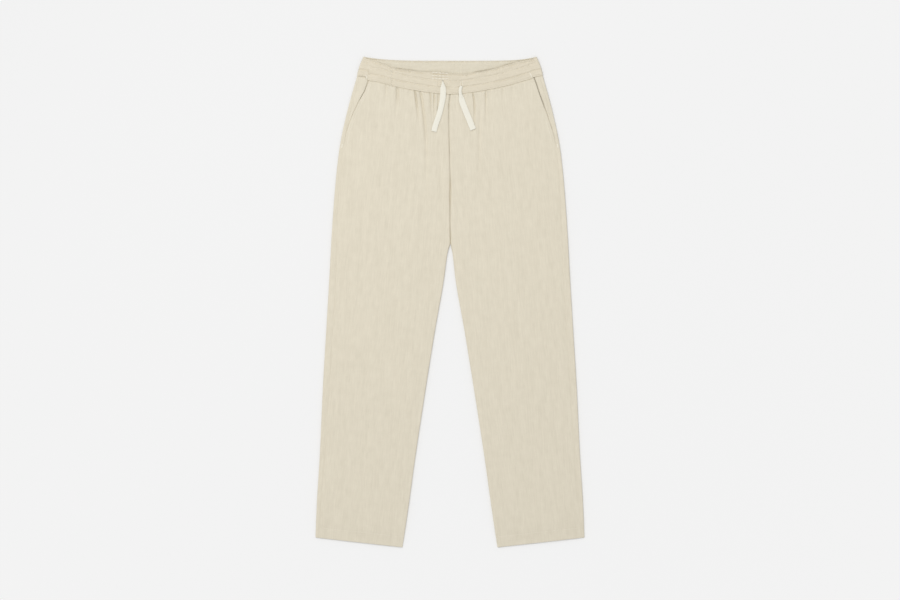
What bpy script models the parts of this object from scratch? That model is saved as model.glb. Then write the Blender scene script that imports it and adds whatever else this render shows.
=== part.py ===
# Linen drawstring trousers laid flat on their back, front side up.
# Metres, +Z up. The waist points along +Y and the hems along -Y. The origin is on the
# surface that the trousers lie on, at the middle of their outline.
# "right" and "left" are the wearer's, so the right leg lies on the -X side.

import math

import bmesh
import bpy
import numpy as np

# Overall sizes
TOTAL_LENGTH = 1.064  # highest point of the waist to the lowest hem corner
WAIST_HALF = 0.1870  # half the relaxed waist, across the top edge
SEAM_HALF = 0.2016  # half the width where the band is sewn on
CLOTH = 0.0012  # wall of a linen panel
HEM_CLOTH = 0.0019  # wall where the hem is turned up
HEM_STEP = 0.003  # length over which the wall thickens
FACING_CLOTH = 0.0010
BAND_CLOTH = 0.0022  # two layers of linen round an elastic
GAP = 0.0003  # between neighbouring pieces at a seam

# Heights above the surface
LEG_RISE = 0.0024  # how far each panel bends toward the other at the inseam
LEG_TOP = 2 * LEG_RISE + GAP
BAND_RISE = 0.0030
BAND_TOP = 2 * BAND_RISE + GAP
LEG_LOFT = 0.0010  # how far a leg's front swells in the middle
LOFT_FADE = 0.12  # length below the band over which that swelling grows
EDGE_STEPS = 3  # straight steps in each bent edge

# Waistband edges, as drops below the highest point of the waist
BACK_TOP_DROP = 0.0087  # middle of the back's top edge
BACK_SEAM_DROP = 0.0500
FRONT_TOP_DROP = 0.0397  # middle of the front's top edge, which dips
FRONT_SEAM_DROP = 0.0809
SIDE_SEAM_DROP = 0.0419  # where the band's seam reaches the outline
BACK_BOW = 4.0  # how squarely an edge curves: x to this power
FRONT_SEAM_BOW = 1.6
FRONT_TOP_BOW = {"right": 1.85, "left": 1.30}
SEAM_CURVE_FADE = 0.22  # length down the side over which sections straighten

# Legs: the two ends of each section across a leg, drops from the waist and distances
# from the centre line. The curls are how far the inner edges are bent toward each other,
# in degrees. Wrap is how far in from the outline the side seam lies, on the front.
SECTION_COLUMNS = (
    "outer_drop",
    "outer_x",
    "inner_drop",
    "inner_x",
    "front_curl",
    "back_curl",
    "wrap",
)
SECTIONS = {
    "band_seam": (SIDE_SEAM_DROP, SEAM_HALF, FRONT_SEAM_DROP, 0.0, 22, 0, 0.0060),
    "pocket": (0.116, 0.2220, 0.150, 0.0, 24, 0, 0.0065),
    "pocket_end": (0.195, 0.2390, 0.230, 0.0, 28, 0, 0.0078),
    "hip": (0.270, 0.2478, 0.300, 0.0, 40, 0, 0.0090),
    "rise": (0.335, 0.2530, 0.360, 0.0, 64, 0, 0.0105),
    "crotch": (0.392, 0.2568, 0.4025, 0.0, 86, 40, 0.0125),
    "fork": (0.410, 0.2578, 0.422, 0.0047, 90, 90, 0.0130),
    "upper_thigh": (0.470, 0.2610, 0.485, 0.0135, 90, 90, 0.0140),
    "thigh": (0.580, 0.2675, 0.595, 0.0335, 90, 90, 0.0145),
    "knee": (0.720, 0.2760, 0.735, 0.0570, 90, 90, 0.0140),
    "calf": (0.860, 0.2823, 0.877, 0.0755, 90, 90, 0.0115),
    "ankle": (0.960, 0.2882, 0.980, 0.0905, 90, 90, 0.0090),
    "hem": (1.0427, 0.2918, TOTAL_LENGTH, 0.1030, 90, 90, 0.0070),
}
HEM_TOP_DROP = 1.0130  # outer drop of the hem's upper edge

# Grids of the leg panels. Above the pocket's end the rows lie closer on a front, where
# its folds are; below it they are the same on every panel, close together at the crotch.
FRONT_ROW_STEP = 0.0127
BACK_ROW_STEP = 0.019
CROTCH_ROWS = (0.229, 0.270, 0.312, 0.350, 0.378, 0.395, 0.410, 0.436, 0.480)
LOWER_ROWS_START = 0.530
LOWER_ROWS = 8
FRONT_COLUMNS = 30
FRONT_COLUMNS_BIAS = 1.35  # over 1 puts them closer together toward the centre

# Slanted hip pockets: the mouth runs from the band to the side seam
POCKET_TOP_INSET = 0.0265  # in from the outline, along a section
POCKET_END_DROP = 0.194
FACING_TUCK = 0.012  # how far the facing runs on under the front
FACING_DIP = 0.0020  # how far that part lies below the front's top
FACING_SLOPE = 0.006  # width over which it dips under the mouth's edge

# Folds that hang below the band on each front. A fold is a soft trough, or a ridge where
# its depth is negative. Places are distances from the centre line at the fold's top,
# middle and end; start and length run down from the band's seam.
FOLD_COLUMNS = ("x_top", "x_middle", "x_end", "start", "length", "width", "depth")
FOLDS = {
    "right": (
        (0.0210, 0.0189, 0.0124, 0.100, 0.170, 0.0100, 0.0007),
        (0.0245, 0.0240, 0.0225, 0.0, 0.065, 0.0055, 0.0007),
        (0.0319, 0.0319, 0.0310, 0.0, 0.040, 0.0045, 0.0009),
        (0.0410, 0.0385, 0.0362, 0.0, 0.044, 0.0050, 0.0009),
        (0.0510, 0.0475, 0.0450, 0.0, 0.070, 0.0060, -0.0006),
        (0.0640, 0.0535, 0.0620, 0.0, 0.290, 0.0085, 0.0014),
        (0.0757, 0.0710, 0.0664, 0.0, 0.050, 0.0050, 0.0014),
        (0.0920, 0.0910, 0.0900, 0.0, 0.055, 0.0070, -0.0006),
        (0.1120, 0.1160, 0.1190, 0.0, 0.060, 0.0080, 0.0010),
        (0.1330, 0.1345, 0.1350, 0.0, 0.045, 0.0070, 0.0006),
        (0.1530, 0.1525, 0.1520, 0.0, 0.040, 0.0070, 0.0004),
    ),
    "left": (
        (0.0130, 0.0150, 0.0160, 0.0, 0.090, 0.0070, 0.0007),
        (0.0300, 0.0315, 0.0330, 0.0, 0.070, 0.0060, -0.0006),
        (0.0501, 0.0536, 0.0571, 0.0, 0.052, 0.0050, 0.0014),
        (0.0670, 0.0629, 0.0595, 0.0, 0.220, 0.0080, 0.0013),
        (0.0760, 0.0775, 0.0788, 0.0, 0.040, 0.0050, 0.0009),
        (0.0830, 0.0870, 0.0920, 0.0, 0.150, 0.0100, 0.0008),
        (0.1010, 0.1015, 0.1020, 0.0, 0.050, 0.0060, -0.0006),
        (0.1144, 0.1152, 0.1160, 0.0, 0.038, 0.0055, 0.0010),
        (0.1360, 0.1365, 0.1370, 0.0, 0.045, 0.0075, 0.0006),
        (0.1600, 0.1625, 0.1656, 0.0, 0.050, 0.0080, 0.0004),
    ),
}
FOLD_MARGIN = 0.022  # width beside the outline that stays smooth
FOLD_FADE = 0.008  # width over which folds grow from a panel's edges

# Gathers of the elastic band: short waves, uneven in length, that die out at the sides
GATHER_LENGTHS = (0.0118, 0.0163, 0.0271)
GATHER_HEIGHT = 0.00024
GATHER_MARGIN = 0.060
BACK_GATHER_SHIFT = 0.004
BACK_GATHER_SINK = 0.00045
STITCH_ROWS = (0.0018, 0.0155, 0.0385)  # rows of topstitching, up from the band's seam
STITCH_SINK = 0.0004
STITCH_REACH = 0.0026

# Drawstring: a flat tape with two free ends, each through a buttonhole in the band.
# Routes run from the buttonhole down the front, as (x, drop).
TAPE_WIDTH = 0.0128
TAPE_THICKNESS = 0.0012
TAPE_POINT_SPACING = 0.007
PINCH = (0.45, 0.64, 0.88)  # width of the first points of a tape, as shares of the whole
BUTTONHOLES = {"right": (-0.0146, 0.0565), "left": (0.0256, 0.0610)}
BUTTONHOLE_SIZE = (0.0030, 0.0120)
ROUTES = {
    "right": (
        (-0.0150, 0.0600),
        (-0.0150, 0.0774),
        (-0.0165, 0.0948),
        (-0.0204, 0.1121),
        (-0.0252, 0.1295),
        (-0.0310, 0.1468),
        (-0.0351, 0.1625),
    ),
    "left": (
        (0.0252, 0.0645),
        (0.0233, 0.0775),
        (0.0254, 0.0930),
        (0.0313, 0.1110),
        (0.0384, 0.1290),
        (0.0456, 0.1465),
        (0.0502, 0.1580),
    ),
}

LINEN = ("linen", (0.737, 0.686, 0.558), 0.92)
LINEN_INSIDE = ("linen_inside", (0.725, 0.672, 0.545), 0.94)
TAPE = ("drawstring_cotton", (0.855, 0.823, 0.723), 0.85)

SIDES = {"right": -1, "left": 1}
HOLDER = "trousers"


# Curves through the rows of a table


def steady_curve(knots, values, at):
    """Value at a place on a curve through the knots that never overshoots them."""
    knots, values = np.asarray(knots, float), np.asarray(values, float)
    step = np.diff(knots)
    slope = np.diff(values) / step
    tangent = np.zeros(len(knots))
    tangent[0], tangent[-1] = slope[0], slope[-1]
    for i in range(1, len(knots) - 1):
        if slope[i - 1] * slope[i] > 0:
            tangent[i] = 2 * slope[i - 1] * slope[i] / (slope[i - 1] + slope[i])
    i = int(np.clip(np.searchsorted(knots, at) - 1, 0, len(step) - 1))
    t = (at - knots[i]) / step[i]
    return (
        values[i] * (1 + 2 * t) * (1 - t) ** 2
        + tangent[i] * step[i] * t * (1 - t) ** 2
        + values[i + 1] * t * t * (3 - 2 * t)
        - tangent[i + 1] * step[i] * t * t * (1 - t)
    )


def rounded_route(points, spacing):
    """Points at even spacing along a smooth curve through a route's own points."""
    points = np.asarray(points, float)
    knots = np.concatenate([[0], np.cumsum(np.linalg.norm(np.diff(points, axis=0), axis=1))])
    tangents = np.gradient(points, knots, axis=0)
    count = max(2, round(knots[-1] / spacing)) + 1
    found = []
    for at in np.linspace(0, knots[-1], count):
        i = int(np.clip(np.searchsorted(knots, at) - 1, 0, len(knots) - 2))
        step = knots[i + 1] - knots[i]
        t = (at - knots[i]) / step
        found.append(
            points[i] * (1 + 2 * t) * (1 - t) ** 2
            + tangents[i] * step * t * (1 - t) ** 2
            + points[i + 1] * t * t * (3 - 2 * t)
            - tangents[i + 1] * step * t * t * (1 - t)
        )
    return found


def ease(t):
    """0 to 1 with soft ends."""
    t = min(1.0, max(0.0, t))
    return t * t * (3 - 2 * t)


def world_y(drop):
    return TOTAL_LENGTH / 2 - drop


def bent_edge(rise, degrees, steps):
    """Points of an edge bent in equal steps, as (along, down). At 90 degrees it goes
    down by the rise, and its last step is square to the panel."""
    right_angle = [math.sin(math.pi / 2 * k / EDGE_STEPS) for k in range(1, EDGE_STEPS + 1)]
    length = rise / sum(right_angle)
    angles = [math.radians(degrees) * k / EDGE_STEPS for k in range(1, steps + 1)]
    return length * sum(map(math.cos, angles)), length * sum(map(math.sin, angles))


# Sections of a leg


def section(outer_drop, top_drop):
    """The section whose outer end is at this drop; the first one's inner end is at
    top_drop, which is where the panel is sewn to the band at its middle."""
    table = np.array(list(SECTIONS.values()))
    column = {name: table[:, i].copy() for i, name in enumerate(SECTION_COLUMNS)}
    column["inner_drop"][0] = top_drop
    return {
        name: float(steady_curve(column["outer_drop"], values, outer_drop))
        for name, values in column.items()
    }


def upper_row_drops(step):
    """Outer drops of the rows from the band to the pocket's end."""
    span = POCKET_END_DROP - SIDE_SEAM_DROP
    return np.linspace(SIDE_SEAM_DROP, POCKET_END_DROP, round(span / step) + 1)


def row_drops(upper_step):
    """Outer drops of all the rows of a panel, from the band to the hem."""
    return [
        *upper_row_drops(upper_step),
        *CROTCH_ROWS,
        *np.linspace(LOWER_ROWS_START, HEM_TOP_DROP, LOWER_ROWS),
        HEM_TOP_DROP + HEM_STEP,
        SECTIONS["hem"][0],
    ]


def section_point(row, inset, bow, top_drop):
    """Place on a section at this distance in from its outer end, as (x, drop)."""
    start = np.array([row["outer_x"], row["outer_drop"]])
    along = np.array([row["inner_x"] + GAP / 2, row["inner_drop"]]) - start
    place = start + along / np.linalg.norm(along) * inset
    below = row["outer_drop"] - SIDE_SEAM_DROP
    reach = min(1.0, max(0.0, place[0] / row["outer_x"]))
    hang = (top_drop - SIDE_SEAM_DROP) * (reach - reach**bow)
    place[1] += hang * (1 - ease(below / SEAM_CURVE_FADE)) + GAP * (1 - ease(below / 0.02))
    return place


def section_width(row):
    across = row["outer_x"] - row["inner_x"] - GAP / 2
    return math.hypot(across, row["outer_drop"] - row["inner_drop"])


def pocket_inset(row):
    """Distance from the outline to the pocket's mouth, which ends on the side seam."""
    span = (row["outer_drop"] - SIDE_SEAM_DROP) / (POCKET_END_DROP - SIDE_SEAM_DROP)
    slant = POCKET_TOP_INSET * (1 - span) + SECTIONS["pocket_end"][-1] * span
    return max(row["wrap"] + GAP, slant)


# Surface heights


def seam_drop(x, middle, bow):
    """Drop of the band's lower edge at x."""
    return middle - (middle - SIDE_SEAM_DROP) * min(1.0, abs(x) / SEAM_HALF) ** bow


def fold_height(side, x, below):
    """Rise of a front at this place from its table of folds."""
    height = 0.0
    for fold in FOLDS[side]:
        row = dict(zip(FOLD_COLUMNS, fold))
        t = (below - row["start"]) / row["length"]
        if not 0 <= t <= 1:
            continue
        bow = row["x_middle"] - (row["x_top"] + row["x_end"]) / 2
        middle = row["x_top"] * (1 - t) + row["x_end"] * t + 4 * bow * t * (1 - t)
        across = (abs(x) - middle) / (row["width"] * (0.7 + 0.6 * t))
        if abs(across) < 1:
            strength = math.sin(math.pi * t) if row["start"] else (1 - t) ** 1.2
            height -= row["depth"] * (0.5 + 0.5 * math.cos(math.pi * across)) * strength
    return height


def front_height(side, x, drop):
    """Top of a front panel above the surface."""
    row = section(max(drop, SIDE_SEAM_DROP), FRONT_SEAM_DROP)
    share = (abs(x) - row["inner_x"]) / (row["outer_x"] - row["inner_x"])
    share = min(1.0, max(0.0, share))
    below = max(0.0, drop - seam_drop(x, FRONT_SEAM_DROP, FRONT_SEAM_BOW))
    loft = LEG_LOFT * math.sin(math.pi * share) * ease(below / LOFT_FADE)
    from_inner = abs(x) - row["inner_x"] - LEG_RISE
    from_outer = row["outer_x"] - abs(x) - FOLD_MARGIN
    shown = ease(min(from_inner, from_outer) / FOLD_FADE)
    return LEG_TOP + loft + fold_height(side, x, below) * shown


def gather(x):
    """Height of the band's gathers at x, none at its sides."""
    wave = sum(math.sin(2 * math.pi * x / length + i) for i, length in enumerate(GATHER_LENGTHS))
    return GATHER_HEIGHT * wave * ease((SEAM_HALF - abs(x)) / GATHER_MARGIN)


def stitch_sink(up_from_seam):
    """How far a row of topstitching pulls the band in."""
    near = min(abs(up_from_seam - row) for row in STITCH_ROWS)
    return STITCH_SINK * (1 - ease(near / STITCH_REACH))


# Blender objects


def clear_scene():
    for obj in list(bpy.data.objects):
        bpy.data.objects.remove(obj, do_unlink=True)


def new_collection(name):
    collection = bpy.data.collections.new(name)
    bpy.context.scene.collection.children.link(collection)
    return collection


def new_material(name, colour, roughness):
    material = bpy.data.materials.get(name) or bpy.data.materials.new(name)
    material.use_nodes = True
    shader = material.node_tree.nodes["Principled BSDF"]
    shader.inputs["Base Color"].default_value = (*colour, 1)
    shader.inputs["Roughness"].default_value = roughness
    shader.inputs["Metallic"].default_value = 0
    return material


def bent_grid(name, rows, columns, place, faces_up):
    """A flat grid with each point moved to place(row, column)."""
    mesh = bpy.data.meshes.new(name)
    grid = bmesh.new()
    bmesh.ops.create_grid(grid, x_segments=columns, y_segments=rows, size=1)
    grid.verts.ensure_lookup_table()
    for vert in grid.verts:
        column = round((vert.co.x + 1) / 2 * columns)
        row = round((vert.co.y + 1) / 2 * rows)
        vert.co = place(row, column)
    bmesh.ops.recalc_face_normals(grid, faces=grid.faces)
    up = sum(face.normal.z * face.calc_area() for face in grid.faces)
    if (up > 0) != faces_up:
        bmesh.ops.reverse_faces(grid, faces=grid.faces)
    grid.to_mesh(mesh)
    grid.free()
    mesh.shade_smooth()
    return mesh


def add_wall(name, mesh, thickness, finish, collection, thin_share=None):
    """A cloth wall: the mesh is its outer face, and Solidify gives it its thickness."""
    obj = bpy.data.objects.new(name, mesh)
    collection.objects.link(obj)
    obj.data.materials.append(new_material(*finish))
    wall = obj.modifiers.new("cloth", "SOLIDIFY")
    wall.thickness = thickness
    wall.offset = -1
    wall.use_rim = True
    if thin_share is not None:
        group = obj.vertex_groups.new(name="thickness")
        for index, share in enumerate(thin_share):
            group.add([index], share, "REPLACE")
        wall.vertex_group = group.name
    return obj


# Pieces


def hem_shares(mesh):
    """Thickness at each point of a panel as a share of the hem's."""
    hem = section(HEM_TOP_DROP + HEM_STEP / 2, FRONT_SEAM_DROP)
    slope = (hem["inner_drop"] - hem["outer_drop"]) / (hem["outer_x"] - hem["inner_x"])
    shares = []
    for vert in mesh.vertices:
        edge = hem["outer_drop"] + slope * (hem["outer_x"] - abs(vert.co.x))
        shares.append(1.0 if vert.co.y < world_y(edge) else CLOTH / HEM_CLOTH)
    return shares


def front_leg(side, collection):
    """Front panel, from the pocket's mouth and side seam to the centre seam and inseam."""
    sign = SIDES[side]
    drops = row_drops(FRONT_ROW_STEP)

    def place(row_index, column):
        row = section(drops[row_index], FRONT_SEAM_DROP)
        width = section_width(row)
        start = pocket_inset(row)
        reach, _ = bent_edge(LEG_RISE, row["front_curl"], EDGE_STEPS)
        if column <= FRONT_COLUMNS:
            share = 1 - (1 - column / FRONT_COLUMNS) ** FRONT_COLUMNS_BIAS
            inset, fall = start + (width - reach - start) * share, 0.0
        else:
            along, fall = bent_edge(LEG_RISE, row["front_curl"], column - FRONT_COLUMNS)
            inset = width - reach + along
        x, drop = section_point(row, inset, FRONT_SEAM_BOW, FRONT_SEAM_DROP)
        return sign * x, world_y(drop), front_height(side, sign * x, drop) - fall

    mesh = bent_grid(
        f"front_leg_{side}", len(drops) - 1, FRONT_COLUMNS + EDGE_STEPS, place, True
    )
    shares = hem_shares(mesh)
    return add_wall(f"front_leg_{side}", mesh, HEM_CLOTH, LINEN, collection, shares)


def back_leg(side, collection):
    """Back panel: flat on the surface, and turned over the outline to the side seam."""
    sign = SIDES[side]
    drops = row_drops(BACK_ROW_STEP)
    turn_columns, over_columns, flat_columns = 6, 1, 10
    radius = LEG_TOP / 2

    def place(row_index, column):
        row = section(drops[row_index], BACK_SEAM_DROP)
        over_row = section(drops[row_index], FRONT_SEAM_DROP)
        width = section_width(row)
        reach, _ = bent_edge(LEG_RISE, row["back_curl"], EDGE_STEPS)
        if column < over_columns:
            inset, z = row["wrap"], LEG_TOP
        elif column <= over_columns + turn_columns:
            angle = math.pi * (column - over_columns) / turn_columns
            inset, z = radius * (1 - math.sin(angle)), radius * (1 + math.cos(angle))
        elif column <= over_columns + turn_columns + flat_columns:
            share = (column - over_columns - turn_columns) / flat_columns
            inset, z = radius + (width - reach - radius) * share, 0.0
        else:
            steps = column - over_columns - turn_columns - flat_columns
            along, z = bent_edge(LEG_RISE, row["back_curl"], steps)
            inset = width - reach + along
        under = section_point(row, inset, BACK_BOW, BACK_SEAM_DROP)
        over = section_point(over_row, inset, FRONT_SEAM_BOW, FRONT_SEAM_DROP)
        turned = z / LEG_TOP if inset <= row["wrap"] else 0.0
        x, drop = under * (1 - turned) + over * turned
        return sign * x, world_y(drop), z

    columns = over_columns + turn_columns + flat_columns + EDGE_STEPS
    mesh = bent_grid(f"back_leg_{side}", len(drops) - 1, columns, place, False)
    shares = hem_shares(mesh)
    return add_wall(f"back_leg_{side}", mesh, HEM_CLOTH, LINEN, collection, shares)


def pocket_facing(side, collection):
    """The piece that shows in the pocket's mouth: it runs on under the front panel."""
    sign = SIDES[side]
    high_columns, low_columns = 5, 2
    drops = upper_row_drops(BACK_ROW_STEP)[:-1]
    low = LEG_TOP - FACING_DIP

    def place(row_index, column):
        row = section(drops[row_index], FRONT_SEAM_DROP)
        mouth = pocket_inset(row) - GAP
        start = row["wrap"] + GAP
        slope = min(FACING_SLOPE, 0.8 * (mouth - start))
        if column <= high_columns:
            inset = start + (mouth - start) * column / high_columns
            z = LEG_TOP - (LEG_TOP - low) * ease((inset - mouth + slope) / slope)
        else:
            share = (column - high_columns) / low_columns
            inset, z = mouth + FACING_TUCK * share, low
        x, drop = section_point(row, inset, FRONT_SEAM_BOW, FRONT_SEAM_DROP)
        return sign * x, world_y(drop), z

    columns = high_columns + low_columns
    mesh = bent_grid(f"pocket_facing_{side}", len(drops) - 1, columns, place, True)
    return add_wall(f"pocket_facing_{side}", mesh, FACING_CLOTH, LINEN, collection)


def band_edges(share, back):
    """Drops of the band's top edge and seam at this share of its half width."""
    side = "left" if share > 0 else "right"
    reach = min(1.0, abs(share))
    if back:
        top = BACK_TOP_DROP * (1 - reach**BACK_BOW)
        return top, seam_drop(reach * SEAM_HALF, BACK_SEAM_DROP, BACK_BOW)
    top = FRONT_TOP_DROP * (1 - reach ** FRONT_TOP_BOW[side])
    return top, seam_drop(reach * SEAM_HALF, FRONT_SEAM_DROP, FRONT_SEAM_BOW)


def band_place(column, columns, level, levels, back):
    """(x, drop, fall) of a point of the band, which bends toward its other half at each
    end. Fall is how far it has bent there."""
    flat = columns - 2 * EDGE_STEPS
    from_end = min(column, columns - column)
    down = level / levels
    half = WAIST_HALF + (SEAM_HALF - WAIST_HALF) * down
    reach, _ = bent_edge(BAND_RISE, 90, EDGE_STEPS)
    if from_end >= EDGE_STEPS:
        x = (half - reach) * (2 * (column - EDGE_STEPS) / flat - 1)
        fall = 0.0
    else:
        along, fall = bent_edge(BAND_RISE, 90, EDGE_STEPS - from_end)
        x = half - reach + along
        x = -x if column < columns / 2 else x
    top, seam = band_edges(x / half, back)
    return x, top + (seam - top) * down, fall


def waistband_front(collection):
    """Elastic casing across the front, gathered, with two buttonholes for the drawstring."""
    columns, levels = 96 + 2 * EDGE_STEPS, 6

    def place(level, column):
        x, drop, fall = band_place(column, columns, level, levels, False)
        calm = 1 - fall / BAND_RISE
        seam = seam_drop(x, FRONT_SEAM_DROP, FRONT_SEAM_BOW)
        relief = gather(x) - stitch_sink(seam - drop)
        return x, world_y(drop), BAND_TOP - fall + relief * calm

    mesh = bent_grid("waistband_front", levels, columns, place, True)
    return add_wall("waistband_front", mesh, BAND_CLOTH, LINEN, collection)


def waistband_back(collection):
    """Elastic casing across the back: flat below, and its gathered inner face shows."""
    columns, levels = 72 + 2 * EDGE_STEPS, 3

    def place(level, column):
        x, drop, rise = band_place(column, columns, level, levels, True)
        return x, world_y(drop), rise

    mesh = bent_grid("waistband_back", levels, columns, place, False)
    shares = []
    for vert in mesh.vertices:
        hollow = gather(vert.co.x + BACK_GATHER_SHIFT) - BACK_GATHER_SINK
        shares.append(min(1.0, 1 + hollow / BAND_CLOTH))
    return add_wall("waistband_back", mesh, BAND_CLOTH, LINEN_INSIDE, collection, shares)


def cut_buttonholes(band, cutters):
    """Upright slits through the front band, where the drawstring comes out."""
    for side, (x, drop) in BUTTONHOLES.items():
        bpy.ops.mesh.primitive_cube_add(size=1, location=(x, world_y(drop), BAND_TOP))
        cutter = bpy.context.object
        cutter.name = f"buttonhole_cutter_{side}"
        cutter.scale = (*BUTTONHOLE_SIZE, 4 * BAND_CLOTH)
        bpy.ops.object.transform_apply(location=False, rotation=False, scale=True)
        for collection in list(cutter.users_collection):
            collection.objects.unlink(cutter)
        cutters.objects.link(cutter)
        cutter.hide_render = True
        cutter.display_type = "WIRE"
        hole = band.modifiers.new(f"buttonhole_{side}", "BOOLEAN")
        hole.object = cutter
        hole.operation = "DIFFERENCE"


def cloth_top(x, drop):
    """Highest cloth near a place on the front: the band, or the panel below it."""
    side = "left" if x > 0 else "right"
    if drop < seam_drop(x, FRONT_SEAM_DROP, FRONT_SEAM_BOW) + TAPE_THICKNESS:
        return BAND_TOP + gather(x)
    return front_height(side, x, drop)


def drawstring(side, collection):
    """One free end of the tape, from its buttonhole down over the front."""
    points = rounded_route(ROUTES[side], TAPE_POINT_SPACING)
    heights = []
    for x, drop in points:
        under = [
            cloth_top(x + dx, drop + dy)
            for dx in np.linspace(-TAPE_WIDTH / 2, TAPE_WIDTH / 2, 7)
            for dy in (-TAPE_POINT_SPACING, 0, TAPE_POINT_SPACING)
        ]
        heights.append(max(under) + GAP + TAPE_THICKNESS / 2)
    curve = bpy.data.curves.new(f"drawstring_{side}", "CURVE")
    curve.dimensions = "3D"
    curve.twist_mode = "Z_UP"
    curve.bevel_depth = TAPE_THICKNESS / 2
    curve.extrude = (TAPE_WIDTH - TAPE_THICKNESS) / 2
    curve.bevel_resolution = 2
    curve.use_fill_caps = True
    spline = curve.splines.new("POLY")
    spline.points.add(len(points) - 1)
    for i, ((x, drop), z) in enumerate(zip(points, heights)):
        spline.points[i].co = (x, world_y(drop), z, 1)
        spline.points[i].tilt = math.pi / 2
        spline.points[i].radius = PINCH[i] if i < len(PINCH) else 1.0
    tape = bpy.data.objects.new(f"drawstring_{side}", curve)
    collection.objects.link(tape)
    tape.data.materials.append(new_material(*TAPE))
    return tape


def main():
    clear_scene()
    trousers = new_collection("linen_drawstring_trousers")
    cutters = new_collection("cutters")
    holder = bpy.data.objects.new(HOLDER, None)
    trousers.objects.link(holder)
    pieces = [waistband_back(trousers)]
    for side in SIDES:
        pieces.append(back_leg(side, trousers))
        pieces.append(pocket_facing(side, trousers))
        pieces.append(front_leg(side, trousers))
    band = waistband_front(trousers)
    cut_buttonholes(band, cutters)
    pieces.append(band)
    for side in SIDES:
        pieces.append(drawstring(side, trousers))
    for piece in pieces:
        piece.parent = holder


main()
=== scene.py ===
import math

import bpy
import numpy as np
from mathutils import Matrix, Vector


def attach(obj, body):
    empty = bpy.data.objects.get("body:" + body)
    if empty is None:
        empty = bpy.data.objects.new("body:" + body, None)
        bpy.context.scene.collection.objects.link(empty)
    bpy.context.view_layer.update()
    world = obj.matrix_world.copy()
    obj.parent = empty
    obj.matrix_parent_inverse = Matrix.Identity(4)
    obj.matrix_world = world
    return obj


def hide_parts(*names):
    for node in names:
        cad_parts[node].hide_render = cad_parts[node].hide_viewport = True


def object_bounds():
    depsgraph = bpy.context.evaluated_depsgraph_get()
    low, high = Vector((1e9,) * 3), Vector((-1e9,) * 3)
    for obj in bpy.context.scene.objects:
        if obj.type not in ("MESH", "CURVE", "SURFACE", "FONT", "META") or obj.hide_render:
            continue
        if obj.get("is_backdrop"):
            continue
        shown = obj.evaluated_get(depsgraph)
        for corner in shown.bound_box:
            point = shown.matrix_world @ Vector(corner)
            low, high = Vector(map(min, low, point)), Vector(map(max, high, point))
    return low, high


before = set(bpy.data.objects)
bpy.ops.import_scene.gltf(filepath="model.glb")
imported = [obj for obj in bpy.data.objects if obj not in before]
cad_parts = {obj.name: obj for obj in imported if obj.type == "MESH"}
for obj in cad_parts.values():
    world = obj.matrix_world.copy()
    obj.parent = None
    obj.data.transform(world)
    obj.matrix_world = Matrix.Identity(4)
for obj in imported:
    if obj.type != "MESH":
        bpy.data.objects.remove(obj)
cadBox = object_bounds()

print("frame loaded:", len(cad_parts), "nodes")

# Linen drawstring trousers lying on their back. Metres, waist towards +Y, front up.
# "right" and "left" are the wearer's, so the right leg lies on the -X side. A drop is the
# distance down from the highest point of the waist.

trousers = {
    "length": 1.064,  # highest point of the waist to the lowest hem corner
    "waistHalf": 0.1873,
    "seamHalf": 0.2014,
    "bandBow": 0.0020,  # how far the band's ends bulge between its edges
    "cloth": 0.0005,  # thickness of one layer of linen
    "legRise": 0.0024,  # how far each panel bends towards the other at the inseam
    "legTop": 0.0051,
    "leastTop": 0.0012,  # the deepest fold stays this high
    "loft": 0.0010,
    "loftFade": 0.12,
    "gap": 0.0003,
    "gapFade": 0.02,
    "straighten": 0.22,  # length down the side over which sections lose the waist's curve
}
sides = {"right": -1, "left": 1}

# Sections of a leg, from its outline to its inner edge, close to those of the CAD part
legColumns = ("outerDrop", "outerX", "innerDrop", "innerX", "frontCurl", "backCurl", "wrap")
legSections = np.array([
    (0.0419, 0.2014, 0.0809, 0.0, 22, 0, 0.0060),  # band seam
    (0.116, 0.2220, 0.150, 0.0, 24, 0, 0.0065),  # pocket
    (0.195, 0.2390, 0.230, 0.0, 28, 0, 0.0078),  # pocket's end
    (0.270, 0.2478, 0.300, 0.0, 40, 0, 0.0090),  # hip
    (0.335, 0.2530, 0.360, 0.0, 46, 0, 0.0105),  # rise
    (0.392, 0.2568, 0.4025, 0.0, 76, 40, 0.0125),  # crotch
    (0.410, 0.2578, 0.422, 0.0047, 90, 90, 0.0130),  # fork
    (0.470, 0.2610, 0.485, 0.0135, 90, 90, 0.0140),  # upper thigh
    (0.580, 0.2675, 0.595, 0.0327, 90, 90, 0.0145),  # thigh
    (0.720, 0.2757, 0.735, 0.0550, 90, 90, 0.0140),  # knee
    (0.860, 0.2820, 0.877, 0.0764, 90, 90, 0.0115),  # calf
    (0.960, 0.2882, 0.980, 0.0905, 90, 90, 0.0090),  # ankle
    (1.0427, 0.2918, 1.064, 0.1030, 90, 90, 0.0070),  # hem
])
seamDrops = {"side": 0.0419, "front": 0.0809, "back": 0.0500}
seamBows = {"front": 1.6, "back": 4.0}
# how far each leg lies nearer to the centre line, most at one drop and less above and below
lean = {"right": 0.0, "left": -0.0014, "drop": 0.46, "reach": 0.40, "start": 0.05, "fade": 0.1}
noiseSize = 64


# Curves, noise and places

def ease(t):
    t = np.clip(t, 0.0, 1.0)
    return t * t * (3 - 2 * t)


def bell(distance, reach):
    return np.exp(-((distance / reach) ** 2))


def window(value, low, high, fade):
    # 1 between two limits and 0 beyond them
    return ease((value - low) / fade) * ease((high - value) / fade)


def cubic(first, last, slope, lastSlope, step, t):
    return (
        first * (1 + 2 * t) * (1 - t) ** 2
        + slope * step * t * (1 - t) ** 2
        + last * t * t * (3 - 2 * t)
        - lastSlope * step * t * t * (1 - t)
    )


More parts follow.
